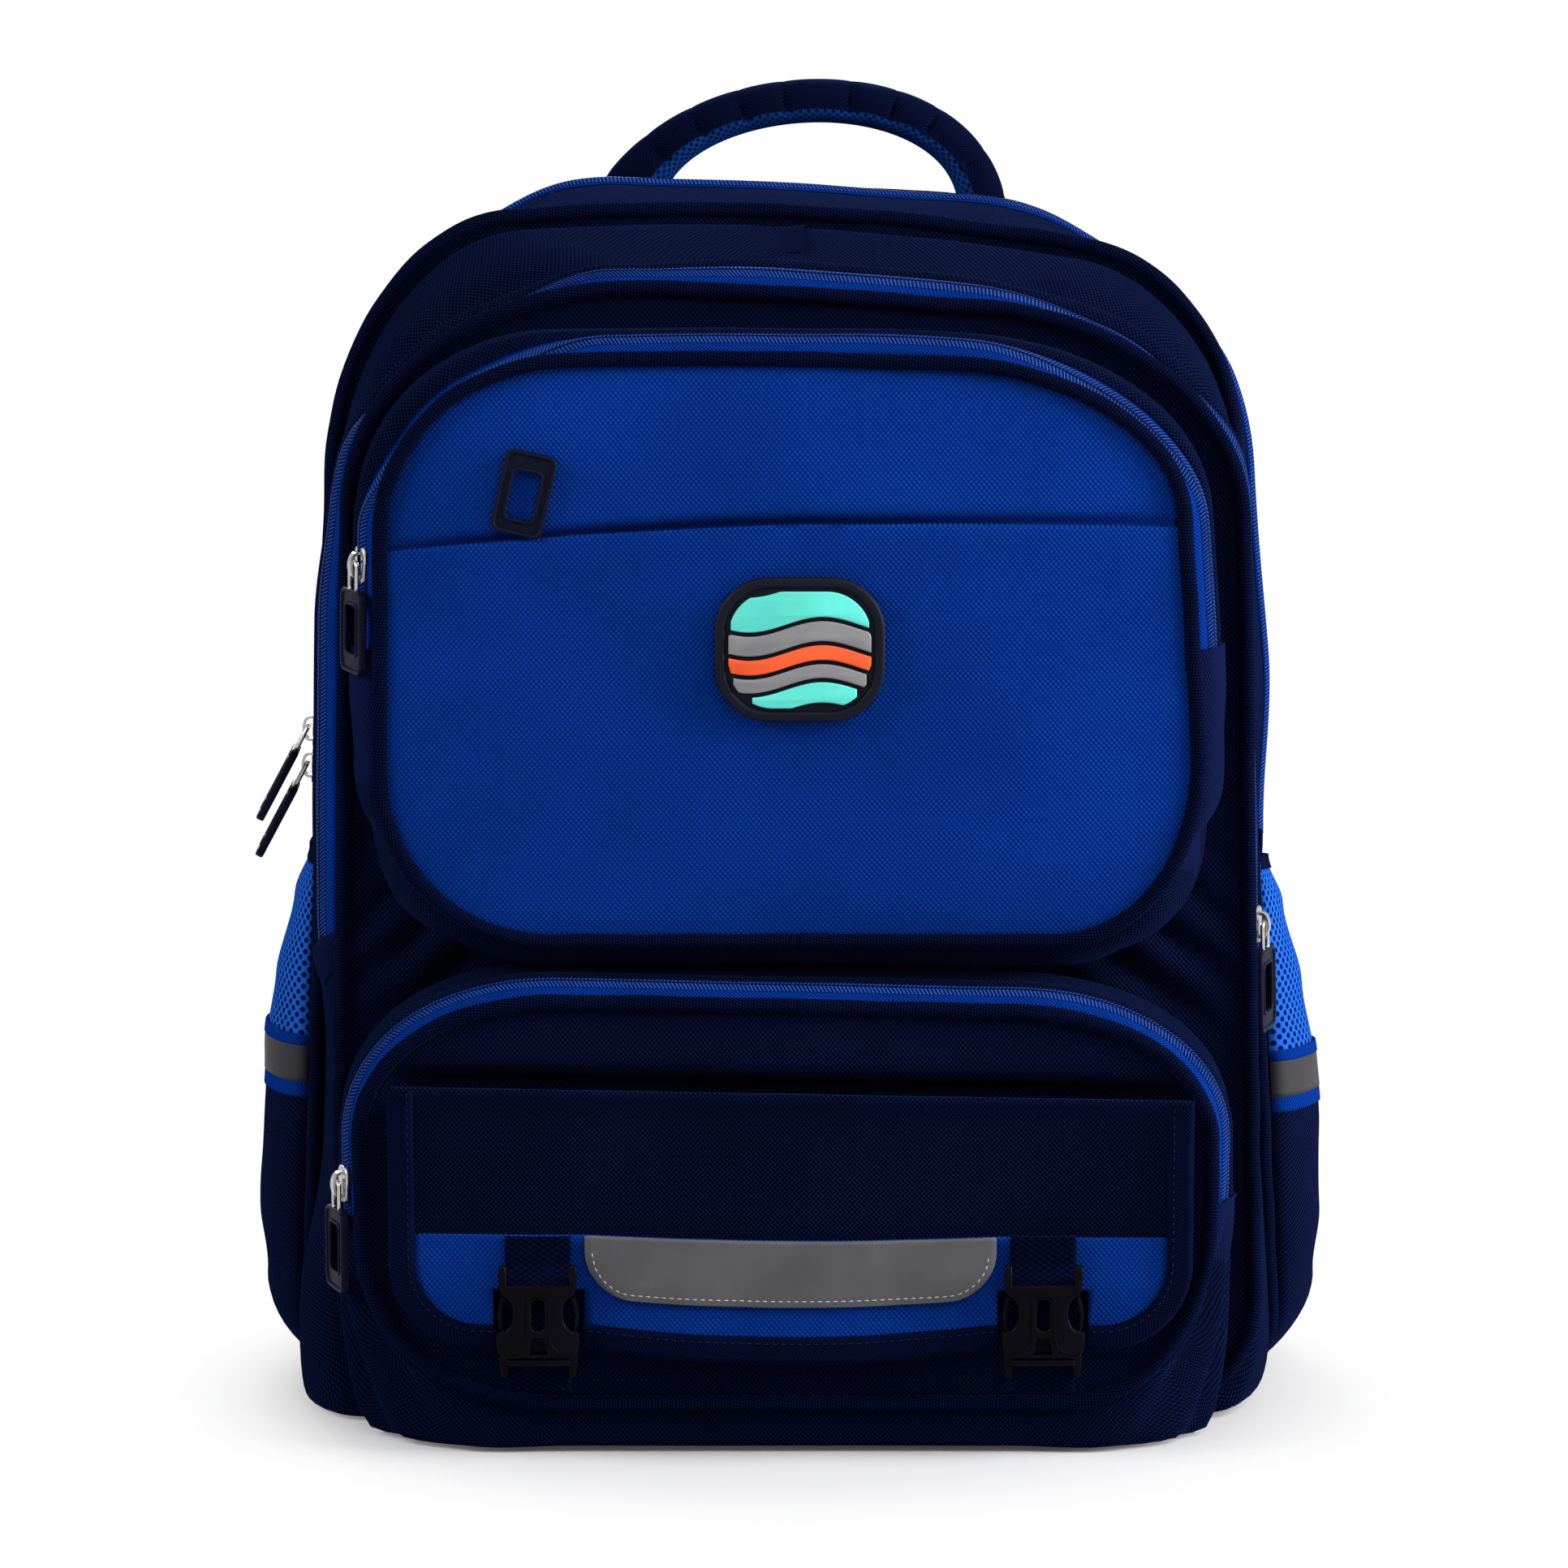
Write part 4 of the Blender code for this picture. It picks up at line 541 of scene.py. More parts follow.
class Seam:
    """A seam line in x and z at one depth, with soft corners and a leaning top."""

    def __init__(self, depth, foot, top, low, high, tilt, crown, foot_rounds, top_rounds):
        self.depth = depth
        self.foot = foot
        self.top = top
        self.tilt = tilt
        self.crown = crown
        self.half = (high[0] + high[1]) / 2.0
        self.runs = []
        for side in (0, 1):
            self.runs.append(self.side_run(low[side], high[side], foot_rounds[side], top_rounds[side]))
        left = [Vector((-point.x, point.y)) for point in reversed(self.runs[0][1:-1])]
        self.points = [self.lifted(point) for point in self.runs[1] + left]
        self.count = len(self.points)

    def side_run(self, low, high, foot_round, top_round):
        """One side, from the middle of the foot to the middle of the top, as flat points."""
        lean = (high - low) / (self.top - self.foot)
        side_start = Vector((low + lean * foot_round[1], self.foot + foot_round[1]))
        side_end = Vector((high - lean * top_round[1], self.top - top_round[1]))
        foot_end = Vector((low - foot_round[0], self.foot))
        top_start = Vector((high - top_round[0], self.top))
        stretches = [spread(Vector((0.0, self.foot)), foot_end, SEAM_STRETCHES[0])]
        stretches.append(self.corner(foot_end, Vector((low, self.foot)), side_start, SEAM_STRETCHES[1]))
        stretches.append(spread(side_start, side_end, SEAM_STRETCHES[2]))
        stretches.append(self.corner(side_end, Vector((high, self.top)), top_start, SEAM_STRETCHES[3]))
        stretches.append(spread(top_start, Vector((0.0, self.top)), SEAM_STRETCHES[4]))
        return [point for stretch in stretches for point in stretch] + [Vector((0.0, self.top))]

    def corner(self, start, tip, end, count):
        """A soft corner as one Bezier curve, leaving out its end."""
        near = start.lerp(tip, CORNER_FULLNESS)
        far = end.lerp(tip, CORNER_FULLNESS)
        return [point.copy() for point in interpolate_bezier(start, near, far, end, count + 1)[:-1]]

    def lifted(self, flat):
        """A flat point moved by the lean and the crown of the top."""
        share = max(0.0, (flat.y - self.foot) / (self.top - self.foot)) ** 4
        crown = self.crown * max(0.0, 1.0 - (flat.x / self.half) ** 2)
        return Vector((flat.x, self.depth, flat.y + share * (self.tilt * flat.x + crown)))

    def reach(self, height, side):
        """Half the width of the flat outline at a height, on the left (0) or the right (1)."""
        run = self.runs[side]
        for before, after in zip(run, run[1:]):
            if before.y <= height <= after.y and after.y > before.y:
                share = (height - before.y) / (after.y - before.y)
                return before.x + share * (after.x - before.x)
        return run[-1 - SEAM_STRETCHES[4]].x if height >= self.top else run[SEAM_STRETCHES[0]].x

    def station(self, height, side):
        """The place along the seam, counted in points, where a side passes a height."""
        run = self.runs[side]
        place = SEAM_STRETCHES[0]
        for i in range(place, len(run) - 1):
            if run[i].y <= height <= run[i + 1].y:
                place = i + (height - run[i].y) / max(1e-9, run[i + 1].y - run[i].y)
                break
        return place if side == 1 else self.count - place

    def shifted(self, depth, outward, upward, downward):
        """The same seam at another depth, let out at its sides, its top and its foot."""
        ring = []
        for point in self.points:
            share = (point.z - self.foot) / (self.top - self.foot)
            fall = max(0.0, 1.0 - share / FOOT_SHARE)
            rise = max(0.0, (share - TOP_SHARE) / (1.0 - TOP_SHARE))
            width = point.x / self.half
            moved_x = point.x + outward * max(-1.0, min(1.0, width * 1.15))
            ring.append(Vector((moved_x, depth, point.z + upward * rise ** 1.5 - downward * fall)))
        return ring


main_seam = Seam(depth=-0.0324, foot=0.0038, top=0.3946, low=(0.168, 0.168), high=(0.1523, 0.1475),
                 tilt=-0.0475, crown=0.0152, foot_rounds=((0.020, 0.022), (0.022, 0.024)),
                 top_rounds=((0.0578, 0.0765), (0.0473, 0.0574)))
rear_seam = Seam(depth=0.0542, foot=0.0038, top=0.4010, low=(0.168, 0.168), high=(0.1530, 0.1530),
                 tilt=-0.0300, crown=0.0060, foot_rounds=((0.020, 0.022), (0.022, 0.024)),
                 top_rounds=((0.1050, 0.0950), (0.1050, 0.0950)))
middle_seam = Seam(depth=-0.0774, foot=0.0038, top=0.3849, low=(0.1546, 0.1588), high=(0.1461, 0.1493),
                   tilt=-0.0607, crown=0.0025, foot_rounds=((0.0218, 0.0719), (0.0450, 0.0400)),
                   top_rounds=((0.1083, 0.0734), (0.0847, 0.0718)))
upper_seam = Seam(depth=-0.1074, foot=0.1749, top=0.3650, low=(0.1367, 0.1396), high=(0.1345, 0.1262),
                  tilt=-0.0135, crown=0.0047, foot_rounds=((0.0563, 0.0594), (0.0522, 0.0694)),
                  top_rounds=((0.0615, 0.0535), (0.0743, 0.0471)))
lower_seam = Seam(depth=-0.1174, foot=0.0187, top=0.1547, low=(0.1422, 0.1401), high=(0.1448, 0.1405),
                  tilt=-0.0212, crown=0.0002, foot_rounds=((0.0615, 0.0563), (0.0485, 0.0666)),
                  top_rounds=((0.0697, 0.0468), (0.0668, 0.0472)))
print("points in a seam:", main_seam.count)

# %% [markdown]
# ## Piping
# Piping is a strip of bias-cut cloth sewn round a cord and caught in the seam. It is laid as a sheet with
# one share running along the seam and the other round the cord. A little wander keeps it from looking
# drawn. A bevelled curve would also give a roll, but the sheet carries a UV map in metres for the weave.
# A short thicker length is the join of the upper pocket's piping.

# %% Rolls of piping
PIPE_RADIUS = 0.0026
PIPE_PROUD = 0.0006
PIPE_SIDES = 12
JOIN_RISE = 0.0004
JOIN_START = 0.8
JOIN_LENGTH = 2.0


def ring_point(ring, place):
    """A point of a closed ring at a place counted in points."""
    first = math.floor(place)
    return ring[first % len(ring)].lerp(ring[(first + 1) % len(ring)], place - first)


def ring_outward(ring, place):
    """The direction out of a ring, in x and z."""
    ahead = ring_point(ring, place + 0.5) - ring_point(ring, place - 0.5)
    return Vector((ahead.z, 0.0, -ahead.x)).normalized()


def add_piping(name, ring, radius, nodes, start=0.0, length=None):
    """Piping along a ring of points: all round, or from a start over a length, both counted in points."""
    span = len(ring) if length is None else length

    def place(across, along):
        middle = ring_point(ring, start + across * span)
        outward = ring_outward(ring, start + across * span)
        angle = 2.0 * math.pi * along
        size = radius * (1.0 + 0.05 * ripple(middle, 0.012, 3.0))
        wander = 0.0005 * ripple(middle, 0.020, 7.0)
        out = outward * (size * math.cos(angle) + wander)
        return middle + out + Vector((0.0, size * math.sin(angle) - PIPE_PROUD, 0.0))

    piece = lay(name, int(span * 2), PIPE_SIDES, place, piping_cloth)
    settle(piece, "bag", "navy_cloth", *nodes)


piped_seams = {"main_front": main_seam, "main_rear": rear_seam, "middle": middle_seam,
               "upper_pocket": upper_seam, "lower_pocket": lower_seam}
for label, seam in piped_seams.items():
    add_piping(label + "_piping_roll", seam.points, PIPE_RADIUS, [label + "_piping"])
add_piping("upper_pocket_piping_join", upper_seam.points, PIPE_RADIUS + JOIN_RISE, [],
           JOIN_START, JOIN_LENGTH)
print("piping rolls:", len(piped_seams))

# %% [markdown]
# ## Gussets
# A gusset is the strip between two seams. Filled, it swells between them, and it creases where it turns a
# corner. Each strip is a function of the place along the seam and the share from rear to front, so zips,
# tabs and the side pockets can be laid on the same surface with a small lift.

# %% A strip between two seams
FLOOR_CLEAR = 0.0006
FLOOR_ROUND = 0.008
SEAM_TUCK = 0.0035
TUCK_WIDTH = 0.0030
CREASE_SIZE = 0.05
GUSSET_ROWS = 40


def hump(value, middle, size):
    """A smooth hump: 1 at a middle and next to nothing two sizes away."""
    return math.exp(-((value - middle) / size) ** 2)


def above_floor(z, clear):
    """A height that never reaches the floor and rounds off softly above it."""
    over = z - clear
    return clear + (over + math.sqrt(over * over + FLOOR_ROUND * FLOOR_ROUND)) / 2.0


class Band:
    """The strip of cloth between a rear and a front ring."""

    def __init__(self, rear, front, swell, crease, extra, sag=None):
        self.rear = rear
        self.front = front
        self.swell = swell
        self.crease = crease
        self.extra = extra
        self.sag = sag
        self.count = len(front)

    def width(self, place):
        """The strip's width at a place."""
        return (ring_point(self.front, place) - ring_point(self.rear, place)).length

    def outward(self, place):
        """The direction out of the strip at a place."""
        ahead = ring_point(self.front, place + 0.5) - ring_point(self.front, place - 0.5)
        over = ring_point(self.front, place) - ring_point(self.rear, place)
        return over.cross(ahead).normalized() * -1.0

    def spot(self, place, share, lift=0.0):
        """A point on the strip, lifted off its surface."""
        point = ring_point(self.rear, place).lerp(ring_point(self.front, place), share)
        bow = max(0.0, math.sin(math.pi * share)) ** 0.7
        out = self.swell * bow + self.crease * bow * ripple(point, CREASE_SIZE)
        for behind in (share, 1.0 - share):
            out -= SEAM_TUCK * hump(behind * self.width(place), 0.0, TUCK_WIDTH)
        out += self.extra(point, share)
        spot = point + self.outward(place) * (out + lift)
        if self.sag:
            spot.z = above_floor(spot.z - self.sag(point, share), FLOOR_CLEAR + lift)
        spot.z = max(spot.z, FLOOR_CLEAR + lift)
        return spot

    def behind_front(self, place, distance):
        """The share at a distance behind the front seam."""
        return 1.0 - distance / self.width(place)


def crowded(share):
    """A share from 0 to 1 whose steps crowd together at both ends."""
    return (1.0 - math.cos(math.pi * share)) / 2.0


def add_gusset(name, band, node):
    """The whole strip as one closed sheet, its rows crowded towards both seams."""

    def place(across, along):
        return band.spot(across * band.count, crowded(along))

    piece = lay(name, band.count, GUSSET_ROWS, place, navy_canvas)
    settle(piece, "bag", "navy_cloth", node)


print("rows of a gusset:", GUSSET_ROWS, "tuck at its seams:", SEAM_TUCK)

# %% [markdown]
# Each gusset has its own way of swelling. A formula gives how far the cloth stands out at a point and at a
# share from rear to front, in metres; two of them also sag until they rest on the floor.

# %% How the gussets swell and sag
def rising(value, low, high):
    """A smooth step from 0 at low to 1 at high."""
    share = min(1.0, max(0.0, (value - low) / (high - low)))
    return share * share * (3.0 - 2.0 * share)


def low_corner(point, middle, size):
    """How near a point is to one of the two lower corners of a seam."""
    return hump(point.z, middle, size) * rising(abs(point.x), 0.075, 0.115)


def top_corner(point, low, high):
    """How near a point is to one of the two upper corners of a seam."""
    return rising(point.z, low, high) * rising(abs(point.x), 0.060, 0.105)


def fold(angle):
    """A round ridge with a sharp valley, from 0 to 1."""
    return abs(math.cos(angle))


def between(share):
    """Nothing at both seams and full between them."""
    return max(0.0, math.sin(math.pi * share)) ** 0.6


def main_fill(point, share):
    """The main gusset stands out on the right, falls back at the top corners and humps up at the handle."""
    right = 0.0035 * rising(point.x, 0.06, 0.13) * (1.0 - 0.75 * rising(point.z, 0.24, 0.31))
    left = 0.0006 * rising(-point.x, 0.06, 0.13)
    fill = rising(point.z, 0.19, 0.25) * (right - left) - 0.0045 * top_corner(point, 0.345, 0.385)
    humps = 0.0034 * hump(point.x, -0.080, 0.032) + 0.0026 * hump(point.x, 0.080, 0.028)
    return (fill + humps * rising(point.z, 0.375, 0.400)) * between(share)


def zip_tuck(point, share, low, high, depth):
    """At the upper corners the strip dips behind the piping, so only the zip's crest shows."""
    dip = hump(1.0 - share, 0.22, 0.20)
    return -depth * dip * top_corner(point, low, high) * min(1.0, (1.0 - share) / 0.08)


def upper_gathers(point, share):
    """The upper pocket's gusset sags below its piping and is gathered in folds at the lower corners."""
    turn = math.atan2(point.z - 0.235, abs(point.x) - 0.075)
    folds = fold(turn * 5.0 + 1.5 * share + 0.4 * ripple(point, 0.03)) - 0.6
    sag = 0.0045 * hump(point.z, 0.170, 0.020)
    tuck = zip_tuck(point, share, 0.312, 0.345, 0.0120 if point.x < 0.0 else 0.0046)
    return (sag + 0.0062 * low_corner(point, 0.200, 0.028) * folds) * between(share) + tuck


def lower_gathers(point, share):
    """The lower pocket's gusset is pressed into folds along its lower corners."""
    folds = fold(math.pi * (3.0 * share + 0.1 + 0.30 * ripple(point, 0.05))) - 0.55
    flare = 0.0090 * max(0.0, math.sin(math.pi * share ** 0.55)) ** 0.6
    press = 0.0110 * folds * between(share) * (0.25 + 0.75 * rising(point.z, 0.020, 0.050))
    return press * low_corner(point, 0.040, 0.034) + flare * low_corner(point, 0.022, 0.026)


def to_the_floor(share, front=0.86):
    """Nothing at the rear seam, full soon after it up to a share, and nothing again at the front seam."""
    lifted = 1.0 - rising(share, front, front + 0.45)
    return rising(share, 0.02, 0.30) * lifted * min(1.0, (1.0 - share) / 0.10) ** 0.5


def lower_sag(point, share):
    """The lower pocket's gusset rolls down to the floor under its piping, in a bow with rounded corners."""
    corner = 0.0120 * low_corner(point, 0.030, 0.030)
    front = 0.80 - 0.60 * rising(abs(point.x), 0.090, 0.150)
    return (0.0260 * (1.0 - rising(point.z, 0.018, 0.056)) + corner) * to_the_floor(share, front)


def middle_fill(point, share):
    """The middle compartment is full at its sides and lower corners, and tucked behind its zip higher up.

    On the right it is only full behind the zip, which leaves the slider a straight run.
    """
    wide = 0.0105 if point.x < 0.0 else 0.0030
    full = wide * (1.0 - rising(point.z, 0.020, 0.095)) * rising(abs(point.x), 0.085, 0.135)
    bulge, foot = (0.0062, 0.120) if point.x < 0.0 else (0.0044, 0.160)
    sides = bulge * rising(abs(point.x), 0.115, 0.145) * rising(point.z, foot, foot + 0.060)
    sides *= 1.0 - rising(point.z, 0.275, 0.335)
    if point.x > 0.0:
        sides *= 1.0 - rising(share, 0.36, 0.56)
    tuck = zip_tuck(point, share, 0.330, 0.368, 0.0090 if point.x < 0.0 else 0.0060)
    return (full + sides) * between(share) + tuck


def middle_sag(point, share):
    """The middle compartment's lower corners sit on the floor."""
    drop = 0.0280 if point.x < 0.0 else 0.0180
    corner = (1.0 - rising(point.z, 0.008, 0.050)) * rising(abs(point.x), 0.080, 0.125)
    return drop * corner * to_the_floor(share)


right_side = Vector((0.15, 0.0, 0.25))
print("the main gusset stands out on the right by", round(main_fill(right_side, 0.5), 4))

# %% [markdown]
# The main gusset joins the rear and the main seam. The middle one starts a little inside the main seam,
# on the main wall. The two pockets start on the middle wall, from their own front seam let out a little.

# %% Four gussets
MAIN_WALL = -0.0335
MIDDLE_WALL = -0.0770
LAP_RISE = 0.0012


def set_in(ring, amount, depth):
    """A ring moved inwards and to another depth."""
    moved = []
    for i in range(len(ring)):
        point = ring[i] - ring_outward(ring, i) * amount
        moved.append(Vector((point.x, depth, point.z)))
    return moved


main_band = Band(rear_seam.points, main_seam.points, swell=0.0036, crease=0.0010, extra=main_fill)
middle_band = Band(set_in(main_seam.points, 0.0034, MAIN_WALL), middle_seam.points, swell=0.0016,
                   crease=0.0012, extra=middle_fill, sag=middle_sag)
upper_band = Band(upper_seam.shifted(MIDDLE_WALL, 0.0095, 0.0060, 0.0075), upper_seam.points, swell=0.0030,
                  crease=0.0010, extra=upper_gathers)
lower_band = Band(lower_seam.shifted(MIDDLE_WALL, 0.0075, 0.0050, 0.0125), lower_seam.points, swell=0.0026,
                  crease=0.0010, extra=lower_gathers, sag=lower_sag)
bands = {"main": main_band, "middle": middle_band, "upper_pocket": upper_band, "lower_pocket": lower_band}
for label, band in bands.items():
    add_gusset(label + "_gusset_cloth", band, label + "_gusset")


def add_lap(name, band, place, stretch, rear, front):
    """The lapped edge where two lengths of a gusset are joined; it dies away along its stretch."""

    def lap_place(across, along):
        rise = LAP_RISE * (1.0 - across) ** 1.5
        return band.spot(place + across * stretch, rear + (front - rear) * along, rise)

    settle(lay(name, 8, 24, lap_place, navy_canvas), "bag", "navy_cloth")


TOP_MIDDLE = sum(SEAM_STRETCHES)
add_lap("middle_gusset_lap", middle_band, TOP_MIDDLE - 1.0, 2.0, 0.05, 0.50)
print("gussets:", len(bands))

# %% [markdown]
# ## Walls
# A wall fills a seam. Its rows crowd together near the foot and the top, where the outline turns, and it
# is blown out a little, most in the middle, because the pocket behind it is stuffed. Its rim may roll in
# more steeply, like a panel drawn tight over its piping. The bag's royal blue wall is two sheets: the
# pocket's own wall above, and the slip pocket's panel in front of it below the slit.

# %% Front walls
RIM_FULLNESS = 0.07


def add_wall(name, seam, material, slot, node, face, dome, wrinkle,
             roll=0.0, columns=90, rows=90, low=None, high=None):
    """A domed sheet that fills a seam and rolls in at its rim.

    It may start from a height over each x, or end at a height over each x.
    """
    start = seam.foot if low is None else low(0.0)

    def place(across, along):
        height = start + (seam.top - start) * crowded(along)
        left, right = seam.reach(height, 0), seam.reach(height, 1)
        over = crowded(across)
        x = -left + over * (left + right)
        if low:
            height = low(x) + (seam.top - low(x)) * crowded(along)
        if high:
            height = min(height, high(x))
        point = seam.lifted(Vector((x, height)))
        sides = 1.0 - (2.0 * over - 1.0) ** 2
        share = (height - seam.foot) / (seam.top - seam.foot)
        ends = max(0.0, 1.0 - (2.0 * share - 1.0) ** 2)
        fullness = sides * ends
        rolled = roll * (1.0 - math.exp(-fullness / RIM_FULLNESS))
        out = dome * fullness + rolled + wrinkle(point) * fullness ** 0.5
        return Vector((point.x, face - out, point.z))

    piece = lay(name, columns, rows, place, material, facing=FRONT, flat_map=True)
    settle(piece, "bag", slot, node)


def soft_wrinkle(point):
    """Slow waves and small puckers of loosely filled cloth."""
    return 0.0012 * ripple(point, 0.07) + 0.0004 * ripple(point, 0.022, 4.0)


def middle_wrinkle(point):
    """The middle wall is pulled into slanting folds between the two pockets' corners."""
    near = hump(point.z, 0.168, 0.030) * rising(abs(point.x), 0.080, 0.120)
    slant = 0.6 * abs(point.x) + 0.8 * point.z + 0.003 * ripple(point, 0.03)
    return soft_wrinkle(point) + 0.0100 * near * (fold(slant * math.pi / 0.017) - 0.5)


SLIT_RIGHT = 0.3145
SLIT_DROP_LEFT = 0.0095
SLIT_LEFT_END = 0.137


def slit_height(x):
    """The slit of the slip pocket: level on the right, falling to the left."""
    return SLIT_RIGHT - SLIT_DROP_LEFT * min(1.0, max(0.0, -x / SLIT_LEFT_END)) ** 1.3


def upper_wrinkle(point):
    """The pocket's own wall sinks in just above the slit and leaves a dark gap behind the slip panel."""
    return soft_wrinkle(point) - 0.0050 * hump(point.z, slit_height(point.x), 0.0034)


def slip_wrinkle(point):
    """The slip panel gapes a little at its top edge, and is pulled in at one stitch near the middle."""
    gape = 0.0016 * hump(point.z, slit_height(point.x), 0.012)
    pull = 0.0016 * hump(point.x, 0.004, 0.010) * hump(point.z, 0.318, 0.010)
    return soft_wrinkle(point) + gape - pull


FLAP_SEAM = 0.1272
FLAP_TILT = 0.018


def flap_crease(point):
    """The lower pocket's wall dives in behind the flap's top edge, where the flap is sewn in."""
    over = point.z - (FLAP_SEAM - FLAP_TILT * point.x)
    width = 0.0036 if over > 0.0 else 0.0120
    dive = 0.0150 * hump(over, 0.0, width) * (1.0 - rising(abs(point.x), 0.128, 0.140))
    bulge = 0.0020 * hump(over, 0.011, 0.006)
    return soft_wrinkle(point) - dive + bulge


UPPER_WALL = -0.1060
SLIP_WALL = UPPER_WALL - 0.0012
LOWER_WALL = -0.1168
ROYAL_DOME = 0.0072
ROYAL_ROLL = 0.0017
SLIT_LAP = 0.012
add_wall("main_wall", main_seam, navy_canvas, "navy_cloth", "main_front_panel", MAIN_WALL, 0.0, soft_wrinkle)
add_wall("middle_wall", middle_seam, navy_canvas, "navy_cloth", "middle_front_panel", MIDDLE_WALL,
         0.0030, middle_wrinkle, columns=160, rows=200)
add_wall("upper_pocket_wall", upper_seam, royal_canvas, "royal_cloth", "upper_pocket_panel", UPPER_WALL,
         ROYAL_DOME, upper_wrinkle, ROYAL_ROLL, rows=120, low=lambda x: slit_height(x) - SLIT_LAP)
add_wall("slip_pocket_wall", upper_seam, royal_canvas, "royal_cloth", "slip_pocket_panel", SLIP_WALL,
         ROYAL_DOME, slip_wrinkle, ROYAL_ROLL, rows=180, high=slit_height)
add_wall("lower_pocket_wall", lower_seam, navy_canvas, "navy_cloth", "lower_pocket_panel", LOWER_WALL,
         0.0050, flap_crease, rows=220)

# %% [markdown]
# ## Zips
# A coil zip is a woven tape with a nylon coil sewn along the middle. The coil is a low ridge; its turns lie
# at a slant to each side of a fine centre line, like a herringbone, and its own UV map draws them. Behind
# the coil the gusset's folded edge covers the tape, and a cloth tab covers each end of the zip.

# %% Coil material
COIL_PITCH = 0.0013
COIL_WIDTH = 0.0052
COIL_SLANT = 0.55
CENTRE_LINE = 0.00035
# The colour of the painted highlight on the coil's crests.
PAINTED_COIL_HIGHLIGHT = (0.016, 0.062, 0.300)


def make_coil_material():
    """Slanting turns to both sides of a centre line, in metres of the coil's UV."""
    coil = Finish("coil_turns", 0.50, specular=0.02)
    parts = coil.add("ShaderNodeSeparateXYZ")
    coil.join(coil.coordinates("UV"), parts.inputs[0])
    from_middle = coil.maths("ABSOLUTE", coil.maths("SUBTRACT", parts.outputs["Y"], COIL_WIDTH / 2.0))
    slanted = coil.maths("ADD", parts.outputs["X"], coil.maths("MULTIPLY", from_middle, COIL_SLANT))
    turn = coil.maths("PINGPONG", slanted, COIL_PITCH / 2.0)
    height = coil.maths("MULTIPLY", turn, 2.0 / COIL_PITCH)
    centre = coil.maths("GREATER_THAN", from_middle, CENTRE_LINE)
    both = coil.maths("MULTIPLY", height, centre)
    coil.relief(both, 0.0007)
    # Over the coil's own pattern, the ramp paints shade between the turns and a painted highlight on their
    # crests.
    stops = [(0.08, shade(ROYAL, 0.10)), (0.40, shade(ROYAL, 0.80)), (0.95, PAINTED_COIL_HIGHLIGHT)]
    return coil.paint(coil.slow_shade(coil.ramp(both, stops), 0.10, 0.02))


coil_turns = make_coil_material()
print("coil material:", coil_turns.name)

# %% [markdown]
# Tape, coil and folded edge are strips of the same gusset surface at three lifts. On the upper pocket the
# end tabs are long, and on the lower pocket the right one reaches a few millimetres up over the zip.

# %% Tapes, coils and end tabs
ZIP_TAPE = 0.0135
COIL_RISE = 0.0016
TAPE_LIFT = 0.0007
COIL_SEAT = 0.0002
LIP_GAP = 0.0004
LIP_WIDTH = 0.0060
LIP_RISE = 0.0016
TAB_WIDTH = 0.0185
TAB_LIFT = 0.0028
MAIN_TAB_LIFT = 0.0016
TAB_OVERLAP = 0.4
TAB_LENGTH = 3.2
UPPER_TAB_LENGTH = 31.0
PIPED_EDGE = PIPE_RADIUS + 0.0004
MAIN_ZIP_EDGE = 0.0145 - main_seam.depth
LOWER_ZIP_SHOWS = 0.087


def add_zip(name, band, span, edge):
    """A zip along a band over a span of places; edge is its distance behind the front seam."""
    start, end = span

    def zip_place(across, behind, lift):
        place = start + across * (end - start)
        return band.spot(place, band.behind_front(place, edge + behind), lift)

    def tape_place(across, along):
        return zip_place(across, along * ZIP_TAPE, TAPE_LIFT)

    def coil_place(across, along):
        rise = COIL_RISE * max(0.0, 1.0 - abs(2.0 * along - 1.0) ** 2.5)
        behind = ZIP_TAPE / 2.0 + (along - 0.5) * COIL_WIDTH
        return zip_place(across, behind, TAPE_LIFT + COIL_SEAT + rise)

    def lip_place(across, along):
        rise = LIP_RISE * math.sin(math.pi * min(1.0, 0.12 + along)) ** 0.6
        behind = ZIP_TAPE / 2.0 + COIL_WIDTH / 2.0 + LIP_GAP + along * LIP_WIDTH
        return zip_place(across, behind, TAPE_LIFT + rise)

    columns = int(abs(end - start) * 2)
    tape = lay(name + "_tape", columns, 10, tape_place, zip_tape_weave, thickness=0.0006)
    settle(tape, "bag", "zip_tape", name)
    coil = lay(name + "_coil", columns * 2, 10, coil_place, coil_turns)
    settle(coil, "bag", "zip_tape")
    lip = lay(name + "_lip", columns, 8, lip_place, navy_canvas)
    settle(lip, "bag", "navy_cloth")


def add_zip_tab(name, band, place, edge, length, lift):
    """A folded cloth tab laid over the end of a zip; its length runs on from the place."""

    def tab_place(across, along):
        spot = place + across * length
        share = band.behind_front(spot, edge + (along - 0.5) * TAB_WIDTH)
        rim = 0.0007 * min(across, 1.0 - across, along, 1.0 - along) ** 0.3
        return band.spot(spot, share, lift * (1.0 - across ** 3) + rim)

    columns = max(12, int(abs(length) * 2))
    settle(lay(name, columns, 10, tab_place, tab_tape, thickness=0.0012), "bag", "navy_cloth")


zip_spans = {"main": (main_seam.station(0.196, 1), main_seam.station(0.196, 0)),
             "middle": (middle_seam.station(0.162, 1), middle_seam.station(0.170, 0)),
             "upper_pocket": (upper_seam.station(0.272, 1), upper_seam.station(0.272, 0)),
             "lower_pocket": (lower_seam.station(0.083, 1), lower_seam.station(0.080, 0))}
zip_edges = {label: MAIN_ZIP_EDGE if label == "main" else PIPED_EDGE for label in bands}
for label, band in bands.items():
    add_zip(label + "_zip", band, zip_spans[label], zip_edges[label])

